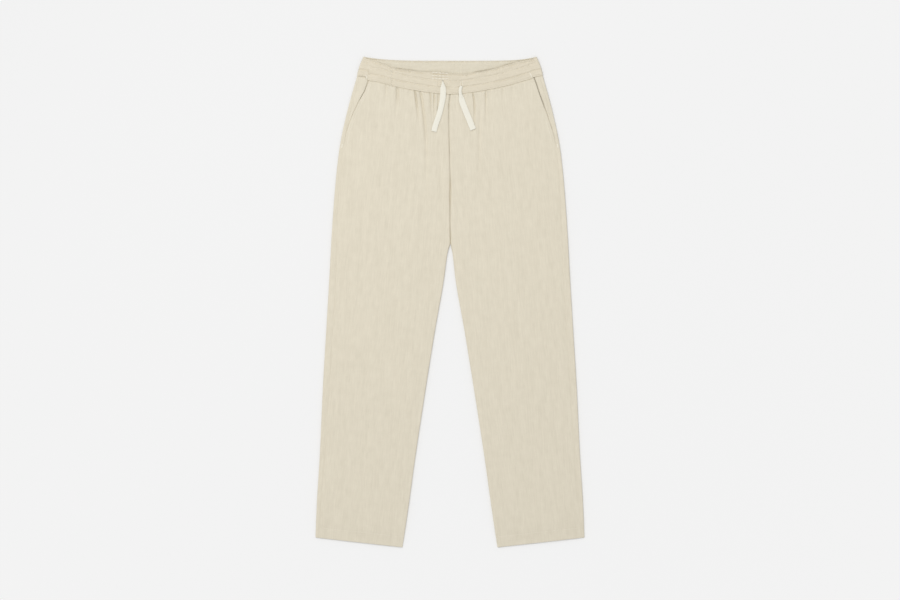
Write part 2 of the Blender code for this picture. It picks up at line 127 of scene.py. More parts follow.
def steadyCurve(knots, values, at):
    # a smooth curve through the knots that never overshoots them
    knots, values, at = (np.asarray(numbers, float) for numbers in (knots, values, at))
    step = np.diff(knots)
    slope = np.diff(values) / step
    tangent = np.zeros(len(knots))
    tangent[0], tangent[-1] = slope[0], slope[-1]
    before, after = slope[:-1], slope[1:]
    same = before * after > 0
    total = np.where(same, before + after, 1.0)
    tangent[1:-1] = np.where(same, 2 * before * after / total, 0.0)
    i = np.clip(np.searchsorted(knots, at) - 1, 0, len(step) - 1)
    return cubic(values[i], values[i + 1], tangent[i], tangent[i + 1], step[i], (at - knots[i]) / step[i])


def walkAlong(line):
    # distance of each point of a line from its first
    return np.concatenate([[0], np.cumsum(np.linalg.norm(np.diff(line, axis=0), axis=1))])


def softNoise(x, y, seed):
    # smooth noise from -1 to 1, the same on every run
    table = np.random.RandomState(seed).uniform(-1, 1, (noiseSize, noiseSize))
    x, y = np.broadcast_arrays(np.asarray(x, float), np.asarray(y, float))
    column, row = np.floor(x).astype(int), np.floor(y).astype(int)
    u, v = ease(x - column), ease(y - row)
    corner = lambda i, j: table[(row + j) % noiseSize, (column + i) % noiseSize]
    low = corner(0, 0) * (1 - u) + corner(1, 0) * u
    high = corner(0, 1) * (1 - u) + corner(1, 1) * u
    return low * (1 - v) + high * v


def place(x, drop, z):
    return np.stack([x, trousers["length"] / 2 - drop, z], axis=-1)


def sectionAt(side, outerDrop, which="front"):
    # the leg's section at a drop down its outline
    table = legSections.copy()
    table[0, 2] = seamDrops[which]
    shift = lean[side] * bell(table[:, 0] - lean["drop"], lean["reach"])
    table[:, 1] += shift * ease((table[:, 0] - lean["start"]) / lean["fade"])
    table[:, 3] += np.where(table[:, 3] > 0.01, shift, 0)
    return {name: steadyCurve(table[:, 0], table[:, i], outerDrop) for i, name in enumerate(legColumns)}


def sectionWidth(row):
    across = row["outerX"] - row["innerX"] - trousers["gap"] / 2
    return np.hypot(across, row["outerDrop"] - row["innerDrop"])


def sectionPoint(row, inset, which="front"):
    # place on a section at this distance in from the outline: x and drop
    alongX = row["innerX"] + trousers["gap"] / 2 - row["outerX"]
    alongDrop = row["innerDrop"] - row["outerDrop"]
    length = np.hypot(alongX, alongDrop)
    x = row["outerX"] + alongX / length * inset
    drop = row["outerDrop"] + alongDrop / length * inset
    below = row["outerDrop"] - seamDrops["side"]
    reach = np.clip(x / row["outerX"], 0, 1)
    hang = (seamDrops[which] - seamDrops["side"]) * (reach - reach ** seamBows[which])
    hang = hang * (1 - ease(below / trousers["straighten"]))
    return x, drop + hang + trousers["gap"] * (1 - ease(below / trousers["gapFade"]))


def seamDrop(x, which):
    reach = np.minimum(1, np.abs(x) / trousers["seamHalf"])
    middle = seamDrops[which]
    return middle - (middle - seamDrops["side"]) * reach ** seamBows[which]


# Folds that hang below the band: distances from the centre line at the top, middle and
# end, then start and length down from the seam, width and depth. A ridge has a depth
# below nothing.
folds = {
    "right": (
        (0.0210, 0.0189, 0.0124, 0.100, 0.170, 0.0100, 0.0009),
        (0.0249, 0.0243, 0.0225, 0.0, 0.120, 0.0052, 0.0017),
        (0.0338, 0.0332, 0.0315, 0.0, 0.080, 0.0046, 0.0027),
        (0.0424, 0.0395, 0.0362, 0.0, 0.080, 0.0048, 0.0023),
        (0.0510, 0.0475, 0.0450, 0.0, 0.070, 0.0060, -0.0005),
        (0.0640, 0.0510, 0.0600, 0.0, 0.270, 0.0082, 0.0034),
        (0.0757, 0.0712, 0.0664, 0.0, 0.075, 0.0050, 0.0050),
        (0.0920, 0.0910, 0.0900, 0.0, 0.055, 0.0070, -0.0006),
        (0.1140, 0.1145, 0.1180, 0.0, 0.070, 0.0090, 0.0040),
        (0.1385, 0.1390, 0.1400, 0.0, 0.050, 0.0080, 0.0022),
        (0.1560, 0.1540, 0.1520, 0.0, 0.040, 0.0070, 0.0006),
    ),
    "left": (
        (0.0130, 0.0150, 0.0160, 0.0, 0.090, 0.0070, 0.0008),
        (0.0370, 0.0370, 0.0370, 0.0, 0.060, 0.0060, -0.0005),
        (0.0493, 0.0535, 0.0470, 0.0, 0.105, 0.0040, 0.0034),
        (0.0650, 0.0640, 0.0600, 0.010, 0.200, 0.0075, 0.0013),
        (0.0775, 0.0782, 0.0788, 0.0, 0.095, 0.0050, 0.0026),
        (0.0830, 0.0870, 0.0920, 0.0, 0.150, 0.0100, 0.0010),
        (0.1010, 0.1015, 0.1020, 0.0, 0.050, 0.0060, -0.0006),
        (0.1144, 0.1152, 0.1160, 0.0, 0.038, 0.0055, 0.0014),
        (0.1360, 0.1365, 0.1370, 0.0, 0.045, 0.0075, 0.0010),
        (0.1600, 0.1625, 0.1656, 0.0, 0.050, 0.0080, 0.0006),
    ),
}
foldShape = {
    "margin": 0.022,  # beside the outline the front stays smooth
    "pressed": 0.30,  # share of a fold's depth where the band's seam sews it nearly flat
    "pressReach": 0.007,
    "widths": (0.7, 0.6),  # its width at the start, and how much wider it ends, as shares
    "fade": 1.2,
    "valley": 0.46,
    "ridge": (0.12, 1.0, 0.6),  # a low ridge on both sides: share, distance and reach
    "depth": 1.35,
    "sharp": 0.0015,  # folds deeper than this draw the columns of places together
    "sharpReach": 0.0065,
}
gathers = {
    "zone": 0.124,  # half the width over which the elastic gathers the cloth
    "fade": 0.022,
    "pitch": 0.0062,
    "broadPitch": 0.0135,
    "legHeight": 0.00068,  # below the band
    "legFade": 0.024,
    "bandHeight": 0.00085,
}
# slow swells of the cloth: height, length across, offset, length down, seed
swells = ((0.00026, 0.075, 7, 0.17, 21), (0.00010, 0.026, 0, 0.09, 22))


def foldCentre(top, middle, end, t):
    # distance of a fold from the centre line at a share of its length
    bow = middle - (top + end) / 2
    return top * (1 - t) + end * t + 4 * bow * t * (1 - t)


def foldHeight(side, x, below):
    height = np.zeros(np.broadcast(x, below).shape)
    narrow, widen = foldShape["widths"]
    ridge, distance, reach = foldShape["ridge"]
    for top, middle, end, start, length, width, depth in folds[side]:
        t = (below - start) / length
        live = (t < 1) & ((t > 0) | (start == 0))
        t = np.clip(t, 0, 1)
        across = (np.abs(x) - foldCentre(top, middle, end, t)) / (width * (narrow + widen * t))
        strength = np.sin(math.pi * t) if start else (1 - t) ** foldShape["fade"]
        shape = bell(across, foldShape["valley"]) - ridge * bell(np.abs(across) - distance, reach)
        height -= np.where(live, foldShape["depth"] * depth * shape * strength, 0)
    pressed = foldShape["pressed"]
    return height * (pressed + (1 - pressed) * ease(below / foldShape["pressReach"]))


def gatherWave(x, drop):
    # ridges of gathered cloth, sharp in their valleys, that wander a little as they fall
    along = x / gathers["pitch"] + 0.35 * softNoise(x / 0.03, drop / 0.02, 11)
    fine = np.abs(softNoise(along, drop / 0.045, 5)) ** 0.7
    broad = softNoise(x / gathers["broadPitch"] + 3.3, drop / 0.06, 8)
    amount = ease((gathers["zone"] - np.abs(x)) / gathers["fade"])
    return (0.9 * fine + 0.55 * broad - 0.35) * (0.34 + 0.66 * amount)


def frontTop(side, x, drop):
    # height of the front's outer face, apart from its bent edges
    row = sectionAt(side, np.clip(drop, seamDrops["side"], legSections[-1, 0]))
    share = np.clip((np.abs(x) - row["innerX"]) / (row["outerX"] - row["innerX"]), 0, 1)
    below = drop - seamDrop(x, "front")
    loft = trousers["loft"] * np.sin(math.pi * share) * ease(below / trousers["loftFade"])
    fromInner = np.abs(x) - row["innerX"] - trousers["legRise"]
    fromOuter = row["outerX"] - np.abs(x)
    shown = ease(np.minimum(fromInner, fromOuter - foldShape["margin"]) / 0.008)
    fall = np.exp(-np.maximum(below, 0) / gathers["legFade"])
    height = trousers["legTop"] + loft + foldHeight(side, x, below) * shown
    height = height + gathers["legHeight"] * gatherWave(x, drop) * fall * shown
    swell = 0
    for rise, across, offset, down, seed in swells:
        swell = swell + rise * softNoise(x / across + offset, drop / down, seed)
    swell = swell * ease(np.minimum(fromInner, fromOuter - 0.008) / 0.02) * ease(below / 0.03)
    return np.maximum(height, trousers["leastTop"]) + swell


# Materials

def plug(tree, slot, value):
    # links a value to a socket, or sets the socket to a plain number or colour
    if isinstance(value, Value):
        tree.links.new(value.socket, slot)
    else:
        slot.default_value = value


class Value:
    # one socket, so that sums on it read as plain expressions

    def __init__(self, tree, socket):
        self.tree = tree
        self.socket = socket

    def math(self, operation, *values):
        node = self.tree.nodes.new("ShaderNodeMath")
        node.operation = operation
        for slot, value in zip(node.inputs, values):
            plug(self.tree, slot, value)
        return Value(self.tree, node.outputs[0])

    __add__ = __radd__ = lambda self, other: self.math("ADD", self, other)
    __mul__ = __rmul__ = lambda self, other: self.math("MULTIPLY", self, other)
    __sub__ = lambda self, other: self.math("SUBTRACT", self, other)
    __rsub__ = lambda self, other: self.math("SUBTRACT", other, self)
    __truediv__ = lambda self, other: self.math("DIVIDE", self, other)
    __rtruediv__ = lambda self, other: self.math("DIVIDE", other, self)
    __abs__ = lambda self: self.math("ABSOLUTE", self)
    sine = lambda self: self.math("SINE", self)
    floor = lambda self: self.math("FLOOR", self)
    within = lambda self, low, high: self.math("MINIMUM", self.math("MAXIMUM", self, low), high)


class Finish:
    # one material and its nodes

    def __init__(self, name, roughness, sheen=0.0, specular=0.25):
        self.material = bpy.data.materials.new(name)
        self.material.use_nodes = True
        self.tree = self.material.node_tree
        self.shader = self.tree.nodes["Principled BSDF"]
        self.feed("Roughness", roughness)
        self.feed("Specular IOR Level", specular)
        self.feed("Sheen Weight", sheen)

    def node(self, kind, settings=None, inputs=None, output=0):
        made = self.tree.nodes.new(kind)
        for name, value in (settings or {}).items():
            setattr(made, name, value)
        for name, value in (inputs or {}).items():
            plug(self.tree, made.inputs[name], value)
        return Value(self.tree, made.outputs[output])

    def feed(self, name, value):
        plug(self.tree, self.shader.inputs[name], value)

    def parts(self, vector):
        first = self.node("ShaderNodeSeparateXYZ", None, {0: vector})
        return [Value(self.tree, socket) for socket in first.socket.node.outputs]

    def grain(self):
        # the piece's own map: metres across and along its threads
        return self.parts(self.node("ShaderNodeUVMap", {"uv_map": "grain"}))[:2]

    def places(self):
        # object coordinates, which are a Texture Coordinate node's output 3
        return self.parts(self.node("ShaderNodeTexCoord", None, None, 3))

    def vector(self, x, y, z):
        return self.node("ShaderNodeCombineXYZ", None, {"X": x, "Y": y, "Z": z})

    def noise(self, x, y, z, detail, scale=1.0):
        inputs = {"Vector": self.vector(x, y, z), "Scale": scale, "Detail": detail}
        return self.node("ShaderNodeTexNoise", None, inputs)

    def colour(self, factor, first, second):
        # a Mix node takes its two colours at sockets 6 and 7, and gives the mixed one at 2
        inputs = {0: factor, 6: (*first, 1), 7: (*second, 1)}
        self.feed("Base Color", self.node("ShaderNodeMix", {"data_type": "RGBA"}, inputs, 2))

    def bump(self, height, distance):
        self.feed("Normal", self.node("ShaderNodeBump", None, {"Height": height, "Distance": distance}))


linens = {
    "colour": (0.757, 0.699, 0.570),
    "bandTintAndPaintedShade": (0.745, 0.679, 0.546),  # the same linen, warmer and darker: partly its own tint, partly painted shade of its gathers
    # the darker tone of the band's slubs, with the same painted shade of its gathers
    "bandSlubTintAndPaintedShade": (0.645, 0.584, 0.460),
    "shade": (0.655, 0.600, 0.480),  # the darker tone of its slubs and mottling
    "insideColour": (0.737, 0.683, 0.556),
    "yarn": 0.00075,  # pitch of its threads
    "relief": 0.00012,
    "roughness": 0.92,
    "sheen": 0.06,
}


def linen(name, colour, shade):
    finish = Finish(name, linens["roughness"], linens["sheen"])
    u, v = finish.grain()
    warp, weft = u / linens["yarn"], v / linens["yarn"]
    over = abs((warp * math.pi).sine())
    under = abs((weft * math.pi).sine())
    checker = (warp * math.pi).sine() * (weft * math.pi).sine()
    weave = over * under * 0.8 + checker * (over - under) * 0.35
    # each thread has its own thickness, which drifts along it
    warpSlub = finish.noise(warp.floor() * 7.31, v * 60, 0.0, 1.0)
    weftSlub = finish.noise(weft.floor() * 5.17, u * 60, 4.0, 1.0)
    slubs = warpSlub * 0.6 + weftSlub * 0.4
    streaks = finish.noise(u * 380, v * 34, 0.0, 2.0)
    bands = finish.noise(u * 120, v * 9, 2.0, 2.0)
    mottle = finish.noise(u * 70, v * 55, 8.0, 3.0)
    tone = (slubs - 0.5) * 0.6 + (streaks - 0.5) * 0.9 + (bands - 0.5) * 0.6 + (mottle - 0.5) * 0.6
    finish.colour((tone * 1.1 + 0.30).within(0.0, 1.0), colour, shade)
    finish.feed("Roughness", tone * 0.08 + linens["roughness"])
    finish.bump(weave + slubs * 0.9 + streaks * 0.8, linens["relief"])
    return finish.material


threads = {"colour": (0.87, 0.825, 0.71), "shade": 0.93, "twist": 2600.0, "relief": 0.00008}


def thread(name):
    finish = Finish(name, 0.8, 0.05)
    twist = finish.noise(*finish.places(), 1.0, threads["twist"])
    finish.colour(twist, [c * threads["shade"] for c in threads["colour"]], threads["colour"])
    finish.bump(twist, threads["relief"])
    return finish.material


tapes = {
    "colour": (0.866, 0.842, 0.746),
    "shade": (0.785, 0.756, 0.655),
    "width": 0.0132,
    "thickness": 0.0012,
    "rings": 45,
    # share of the width that shows, by distance from the buttonhole
    "opening": {
        "right": (
            (0.0, 0.003, 0.007, 0.011, 0.015, 0.034, 0.044, 0.055, 0.2),
            (0.20, 0.34, 0.55, 0.73, 0.94, 0.98, 0.92, 0.90, 0.92),
        ),
        "left": (
            (0.0, 0.004, 0.018, 0.022, 0.027, 0.032, 0.2),
            (0.48, 0.54, 0.54, 0.67, 0.84, 1.0, 1.0),
        ),
    },
    "exitDepths": (0.0012, 0.0002),  # how far its first rings lie below the band's face
    "rolled": 0.58,  # where this share of its width is rolled away
    "roll": 0.0022,  # its middle stands up this far
    "crown": 0.00028,  # and this far where it is flat
    "lift": 0.00015,  # how far it lies above the cloth
    "wave": 0.00018,
    "waveSeeds": {"right": 42, "left": 41},
    "rib": 0.0011,
    "cord": 0.00062,
    "relief": 0.00016,
}


def tapeCotton(name):
    # woven in a herringbone: two halves of slanting ribs that meet on the centre line
    finish = Finish(name, 0.85, 0.08)
    across, along = finish.grain()
    slant = (along + abs(across) * 0.9) * (2 * math.pi / tapes["rib"])
    rib = slant.sine() * 0.5 + 0.5
    cord = abs((across * (math.pi / tapes["cord"])).sine())
    fuzz = finish.noise(across * 900, along * 500, 0.0, 2.0)
    pattern = rib * 0.55 + cord * 0.25 + fuzz * 0.3
    finish.colour(pattern, tapes["shade"], tapes["colour"])
    finish.bump(pattern, tapes["relief"])
    return finish.material


linenMaterial = linen("linen", linens["colour"], linens["shade"])
# the band's linen carries painted shade of its gathers as well as its own warmer tint
bandMaterial = linen("linenBand", linens["bandTintAndPaintedShade"], linens["bandSlubTintAndPaintedShade"])
insideMaterial = linen("linenInside", linens["insideColour"], linens["shade"])
threadMaterial = thread("sewingThread")
tapeMaterial = tapeCotton("drawstringCotton")
print("materials made")


# Camera, light and floor

studio = {
    "distance": 5.425,
    "lens": 100,
    "sensor": 36,
    "aim": 0.0043,
    "keyPlace": (-0.9, 1.2, 3.0),
    "keySize": 1.4,
    "keyPower": 39.7,
    "sky": 0.732,
    "floorSize": 14,
    "floorZ": -0.0002,
    "floor": 0.8665,
    # how the floor's tone evens out the key light's fall-off: by x, y, then their squares and product
    "floorSlope": (0.0494, -0.0672, 0.0310, 0.0252, 0.0185),
}


def setStudio():
    bpy.ops.object.select_all(action="DESELECT")
    bpy.ops.object.camera_add(location=(0, studio["aim"], studio["distance"]))
    camera = bpy.context.object
    camera.name = "camera"
    camera.data.lens = studio["lens"]
    camera.data.sensor_width = studio["sensor"]
    bpy.context.scene.camera = camera
    x, y, z = studio["keyPlace"]
    turn = (math.atan2(math.hypot(x, y), z), 0, math.atan2(-x, y) + math.pi)
    bpy.ops.object.light_add(type="AREA", location=(x, y, z), rotation=turn)
    key = bpy.context.object
    key.name = "key"
    key.data.size = studio["keySize"]
    key.data.energy = studio["keyPower"]
    world = bpy.data.worlds.new("studio")
    world.use_nodes = True
    world.node_tree.nodes["Background"].inputs["Color"].default_value = (1, 1, 1, 1)
    world.node_tree.nodes["Background"].inputs["Strength"].default_value = studio["sky"]
    bpy.context.scene.world = world
    bpy.context.scene.view_settings.view_transform = "Standard"
    bpy.ops.mesh.primitive_plane_add(size=studio["floorSize"], location=(0, 0, studio["floorZ"]))
    floor = bpy.context.object
    floor.name = "floor"
    finish = Finish("paleFloor", 0.95, specular=0.0)
    x, y, _ = finish.places()
    byX, byY, byXX, byYY, byXY = studio["floorSlope"]
    tone = x * (x * byXX + y * byXY + byX) + y * (y * byYY + byY) + studio["floor"]
    finish.feed("Base Color", finish.vector(tone, tone, tone))
    floor.data.materials.append(finish.material)
    floor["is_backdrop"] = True


setStudio()
print("camera, light and floor set")


# Making meshes

def selectOnly(piece):
    bpy.ops.object.select_all(action="DESELECT")
    bpy.context.view_layer.objects.active = piece
    piece.select_set(True)


def editWhole(piece, *steps):
    # edit-mode operators, each on the whole piece
    selectOnly(piece)
    bpy.ops.object.mode_set(mode="EDIT")
    for operator, settings in steps:
        bpy.ops.mesh.select_all(action="SELECT")
        operator(**settings)
    bpy.ops.object.mode_set(mode="OBJECT")


def gridPiece(name, points, grain, material):
    # a primitive grid whose points are moved to a table of places, row by row
    rows, columns = points.shape[:2]
    bpy.ops.object.select_all(action="DESELECT")
    bpy.ops.mesh.primitive_grid_add(x_subdivisions=columns - 1, y_subdivisions=rows - 1, size=1)
    piece = bpy.context.object
    piece.name = name
    mesh = piece.data
    mesh.name = name
    assert len(mesh.vertices) == rows * columns
    mesh.vertices.foreach_set("co", points.reshape(-1).astype(np.float32))
    order = np.empty(len(mesh.loops), np.int32)
    mesh.loops.foreach_get("vertex_index", order)
    layer = mesh.uv_layers[0]
    layer.name = "grain"
    layer.data.foreach_set("uv", grain.reshape(-1, 2)[order].reshape(-1).astype(np.float32))
    mesh.materials.append(material)
    mesh.update()
    return piece


def clothPiece(name, points, grain, upwards):
    # a sheet of linen: the table is its outer face
    piece = gridPiece(name, points, grain, linenMaterial)
    normals = np.empty(len(piece.data.polygons) * 3, np.float32)
    piece.data.polygons.foreach_get("normal", normals)
    if (normals[2::3].mean() > 0) != upwards:
        editWhole(piece, (bpy.ops.mesh.flip_normals, {}))
    selectOnly(piece)
    cloth = piece.modifiers.new("cloth", "SOLIDIFY")
    cloth.thickness = trousers["cloth"]
    cloth.offset = -1
    bpy.ops.object.modifier_apply(modifier=cloth.name)
    piece.data.shade_smooth()
    return piece


def closedPiece(name, points, grain, material):
    # a table whose rows go round and close on themselves, capped at its ends
    piece = gridPiece(name, points, grain, material)
    editWhole(
        piece,
        (bpy.ops.mesh.remove_doubles, {"threshold": 1e-6}),
        (bpy.ops.mesh.fill_holes, {"sides": 0}),
        (bpy.ops.mesh.normals_make_consistent, {"inside": False}),
    )
    piece.data.shade_smooth()
    return piece


def finishPiece(piece, node):
    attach(piece, "root")
    if node:
        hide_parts(node)
    top = max(corner[2] for corner in piece.bound_box)
    print("made", piece.name, len(piece.data.polygons), "faces, top", round(top * 1000, 2))


# Waistband

band = {
    "thickness": 0.0022,
    "height": 0.0415,
    "rise": 0.0030,
    "endBend": 0.02,  # its bent ends are places from 1 to this much more along it
    "top": 0.0063,
    "edge": 0.00105,  # radius of its folded edges
    "stitchRows": (0.0017, 0.0138, 0.0278),
    "rowDepths": (0.6, 1.25, 0.9),  # how deep each row sinks, as shares
    "topRow": 0.0030,
    "stitchSink": 0.00150,
    "stitchReach": 0.0015,
    "columns": 420,
    "backTopDrop": 0.0087,
    "topBow": {"right": 4.0, "left": 5.8},  # how late the back's top edge rises to each corner
    "buttonholes": ((-0.0153, 0.0512, 0.0625), (0.0250, 0.0525, 0.0660)),  # x, upper and lower drop
    "holeDepth": 0.0010,
    "holeReach": 0.0011,
    # upright lines where it is sewn down: x, upper and lower drop, depth
    "pressLines": (
        (-0.1265, 0.0295, 0.0655, 0.0010),
        (-0.0254, 0.0495, 0.0670, 0.0009),
        (-0.0050, 0.0440, 0.0500, 0.0008),
    ),
    "pressReach": 0.0012,
    # a small box of extra stitching above the buttonhole: its ends, the drops of its rows of
    # stitches and of the valleys between them at both ends, and how deep the valleys are
    "box": {
        "ends": (-0.0390, -0.0045),
        "rows": ((0.0341, 0.0367), (0.0413, 0.0426), (0.0467, 0.0480)),
        "valleys": ((0.0373, 0.0393), (0.0441, 0.0453)),
        "depths": (0.0028, 0.0018),
        "reach": 0.0009,
        "foot": 0.042,  # above this drop the rows of topstitching don't sink inside the box
        "strip": 0.0006,  # how far the edge above the first valley is raised
        "stripGap": 0.0006,
        "stripFade": 0.0008,
    },
    "leastCloth": 0.0005,  # its two faces stay this far apart
    "gapeDepth": 0.0015,
    "gapeLift": 0.0006,
}
# the front's top edge, which the elastic draws into a wavy line: x and drop
frontTopEdge = np.array([
    (-0.1870, 0.0000), (-0.1812, 0.0040), (-0.1638, 0.0090), (-0.1465, 0.0157),
    (-0.1370, 0.0172), (-0.1290, 0.0238), (-0.1031, 0.0284), (-0.0770, 0.0310),
    (-0.0597, 0.0334), (-0.0423, 0.0330), (-0.0250, 0.0337), (-0.0100, 0.0354),
    (0.0000, 0.0368), (0.0184, 0.0374), (0.0345, 0.0384), (0.0532, 0.0345),
    (0.0705, 0.0322), (0.0879, 0.0288), (0.1052, 0.0236), (0.1226, 0.0187),
    (0.1400, 0.0140), (0.1573, 0.0104), (0.1747, 0.0072), (0.1870, 0.0000),
])
# how far the front's top edge stands off the back, by x
edgeGape = (
    (
        -0.182, -0.165, -0.150, -0.126, -0.120, -0.111, -0.103, -0.094, -0.085, -0.068, -0.055,
        -0.040, -0.033, -0.016, -0.004, 0.008, 0.020, 0.045, 0.052, 0.060, 0.078, 0.086, 0.096,
        0.104, 0.113, 0.130, 0.140, 0.150, 0.158, 0.165, 0.183,
    ),
    (
        0.0, 0.0, 0.0, 0.0, 0.50, 1.10, 1.40, 1.15, 0.90, 0.45, 0.30,
        0.40, 0.30, 0.30, 0.25, 0.30, 0.10, 0.0, 0.40, 1.50, 1.60, 0.75, 0.60,
        0.30, 0.50, 1.00, 0.85, 1.00, 0.45, 0.0, 0.05,
    ),
)
# how far the front band's seam strays from its even curve beside the pockets
seamStray = {
    "right": (
        (0.0, 0.124, 0.150, 0.160, 0.1786, 0.1797, 0.190, 0.2016),
        (0.0004, 0.0004, -0.0006, 0.0, 0.0026, -0.0036, -0.0034, 0.0),
    ),
    "left": (
        (0.0, 0.124, 0.144, 0.162, 0.1782, 0.1793, 0.196, 0.2016),
        (0.0006, -0.0002, -0.0009, -0.0017, -0.0016, -0.0032, -0.0020, 0.0),
    ),
}


def frontEdge(x):
    return np.interp(x, frontTopEdge[:, 0], frontTopEdge[:, 1])


def bandSeam(x, which):
    drop = seamDrop(x, which)
    if which == "front":
        for side, sign in sides.items():
            drop = drop + np.where(x * sign > 0, np.interp(np.abs(x), *seamStray[side]), 0)
    return drop


def bandHalf(level):
    # half the band's width at a level from its seam to its top
    straight = trousers["seamHalf"] + (trousers["waistHalf"] - trousers["seamHalf"]) * level
    return straight + trousers["bandBow"] * 4 * level * (1 - level)


def bandEdges(x, half, which):
    share = np.clip(x / half, -1, 1)
    if which == "back":
        bow = np.where(share > 0, band["topBow"]["left"], band["topBow"]["right"])
        top = band["backTopDrop"] * (1 - np.abs(share) ** bow)
    else:
        top = frontEdge(share * frontTopEdge[-1, 0])
    return top, bandSeam(share * trousers["seamHalf"], which)


def bandRelief(x, up, height, which):
    # gathers and rows of topstitching on the band's shown face; up is from the seam
    wave = gathers["bandHeight"] * gatherWave(x, 0.02 + 0.5 * up + (0.4 if which == "back" else 0))
    sink = bell(height - up - band["topRow"], band["stitchReach"])
    for row, share in zip(band["stitchRows"], band["rowDepths"]):
        if which == "front" or row < 0.01:
            sink = sink + share * bell(up - row, band["stitchReach"])
    pucker = 1 + 0.65 * softNoise(x / 0.0046, up / 0.004, 31)
    wave = wave * (0.35 + 0.65 * window(up, 0, height, 0.003)) * (1 - 0.45 * np.minimum(sink, 1))
    relief = wave - band["stitchSink"] * sink * pucker
    gape = np.interp(x, *edgeGape)
    deepest = band["leastCloth"] - band["thickness"]
    drop = seamDrop(x, which) - up
    if which == "back":
        # it falls away from the front band's edge where the opening gapes
        relief = relief - band["gapeDepth"] * gape * bell(drop - frontEdge(x) + 0.0002, 0.0019)
        return np.maximum(relief, deepest)
    relief = relief + band["gapeLift"] * gape * bell(height - up, 0.006)
    for lineX, low, high, depth in band["pressLines"]:
        relief = relief - depth * bell(x - lineX, band["pressReach"]) * window(drop, low, high, 0.002)
    box = band["box"]
    inside = window(x, *box["ends"], 0.002)
    fall = np.interp(x, box["ends"], box["valleys"][0]) - box["stripGap"] - drop
    strip = box["strip"] * ease(fall / box["stripFade"])
    relief = relief + (strip + band["stitchSink"] * sink * (drop < box["foot"])) * inside
    for valley, depth in zip(box["valleys"], box["depths"]):
        relief = relief - depth * bell(drop - np.interp(x, box["ends"], valley), box["reach"]) * inside
    for holeX, low, high in band["buttonholes"]:
        inside = window(drop, low, high, 0.0015)
        relief = relief - band["holeDepth"] * inside * bell(x - holeX, band["holeReach"]) ** 2
    return np.maximum(relief, deepest)


def bandPoint(along, level, depth, which):
    # a place in the band: along is -1 to 1 with its bent ends, level 0 at the seam to 1
    # at the top, and depth goes in from the outer face
    half = bandHalf(level)
    rise = band["rise"]
    bend = np.clip((np.abs(along) - 1) / band["endBend"], 0, 1) * math.pi / 2
    x = np.sign(along) * (np.minimum(np.abs(along), 1) * (half - rise))
    top, seam = bandEdges(x + np.sign(along) * rise * np.sin(bend), half, which)
    shown = depth if which == "front" else band["thickness"] - depth
    near = 1 - np.clip(shown / band["thickness"] * 3, 0, 1)
    lift = bandRelief(x, (seam - top) * level, seam - top, which) * near * np.cos(bend)
    if which == "front":
        radius = rise - depth + lift
        z = band["top"] - rise + radius * np.cos(bend)
    else:
        radius = rise - depth - lift
        z = rise - radius * np.cos(bend)
    return place(x + np.sign(along) * radius * np.sin(bend), seam + (top - seam) * level, z)


def makeBand(which, material):
    # a ring round the band's section, as distance up from the seam and depth, swept along it
    edge, thick, width = band["edge"], band["thickness"], band["height"]
    turns = np.linspace(0, math.pi, 7)[1:-1]
    shownLevels = np.concatenate([np.linspace(0, 0.88, 44), np.linspace(0.88, 1, 14)[1:]])
    ring = [(level * (width - 2 * edge) + edge, 0.0) for level in shownLevels]
    ring += [(width - edge + edge * math.sin(a), thick / 2 * (1 - math.cos(a))) for a in turns]
    ring += [(level * (width - 2 * edge) + edge, thick) for level in np.linspace(1, 0, 10)]
    ring += [(edge - edge * math.sin(a), thick / 2 * (1 + math.cos(a))) for a in turns]
    ring = np.array(ring + ring[:1])
    if which == "back":
        ring[:, 1] = thick - ring[:, 1]
    bends = np.linspace(0, band["endBend"], 7)[1:]
    middle = np.linspace(-1, 1, band["columns"])
    # columns lie closer together along the buttonholes and the upright lines
    for fine in band["buttonholes"] + band["pressLines"]:
        away = middle - fine[0] / (trousers["seamHalf"] - 0.005)
        middle = middle - 0.6 * away * bell(away, 0.035)
    along = np.concatenate([-1 - bends[::-1], middle, 1 + bends])
    level, along = np.broadcast_arrays(ring[:, :1] / width, along)
    points = bandPoint(along, level, np.broadcast_to(ring[:, 1:], level.shape), which)
    # the grain runs along the band, and on round its folded edges
    grain = np.stack([walkAlong(ring)[:, None] + 0 * along + 2, along * 0.25], axis=2)
    return closedPiece("waistband" + which.capitalize(), points, grain, material)


# Drawstring

routes = {
    "right": (
        (-0.0156, 0.0532), (-0.0152, 0.0600), (-0.0150, 0.0774), (-0.0152, 0.0861),
        (-0.0164, 0.0948), (-0.0200, 0.1121), (-0.0247, 0.1295), (-0.0307, 0.1468),
        (-0.0352, 0.1625),
    ),
    "left": (
        (0.0256, 0.0640), (0.0228, 0.0690), (0.0222, 0.0774), (0.0238, 0.0861),
        (0.0257, 0.0948), (0.0318, 0.1121), (0.0389, 0.1295), (0.0458, 0.1468),
        (0.0504, 0.1585),
    ),
}


def routeLine(points, count):
    points = np.asarray(points, float)
    knots = walkAlong(points)
    tangents = np.gradient(points, knots, axis=0)
    found = []
    for at in np.linspace(0, knots[-1], count):
        i = int(np.clip(np.searchsorted(knots, at) - 1, 0, len(knots) - 2))
        step = knots[i + 1] - knots[i]
        t = (at - knots[i]) / step
        found.append(cubic(points[i], points[i + 1], tangents[i], tangents[i + 1], step, t))
    return np.array(found)


def clothTop(x, drop):
    # the highest cloth at places on the front: the band, or the panel below it
    leg = frontTop("left" if np.mean(x) > 0 else "right", x, drop)
    seam = bandSeam(x, "front")
    onBand = 1 - ease((drop - seam - 0.0008) / 0.0012)
    relief = bandRelief(x, np.maximum(seam - drop, 0), seam - frontEdge(x), "front")
    return leg * (1 - onBand) + np.maximum(band["top"] + relief, leg) * onBand


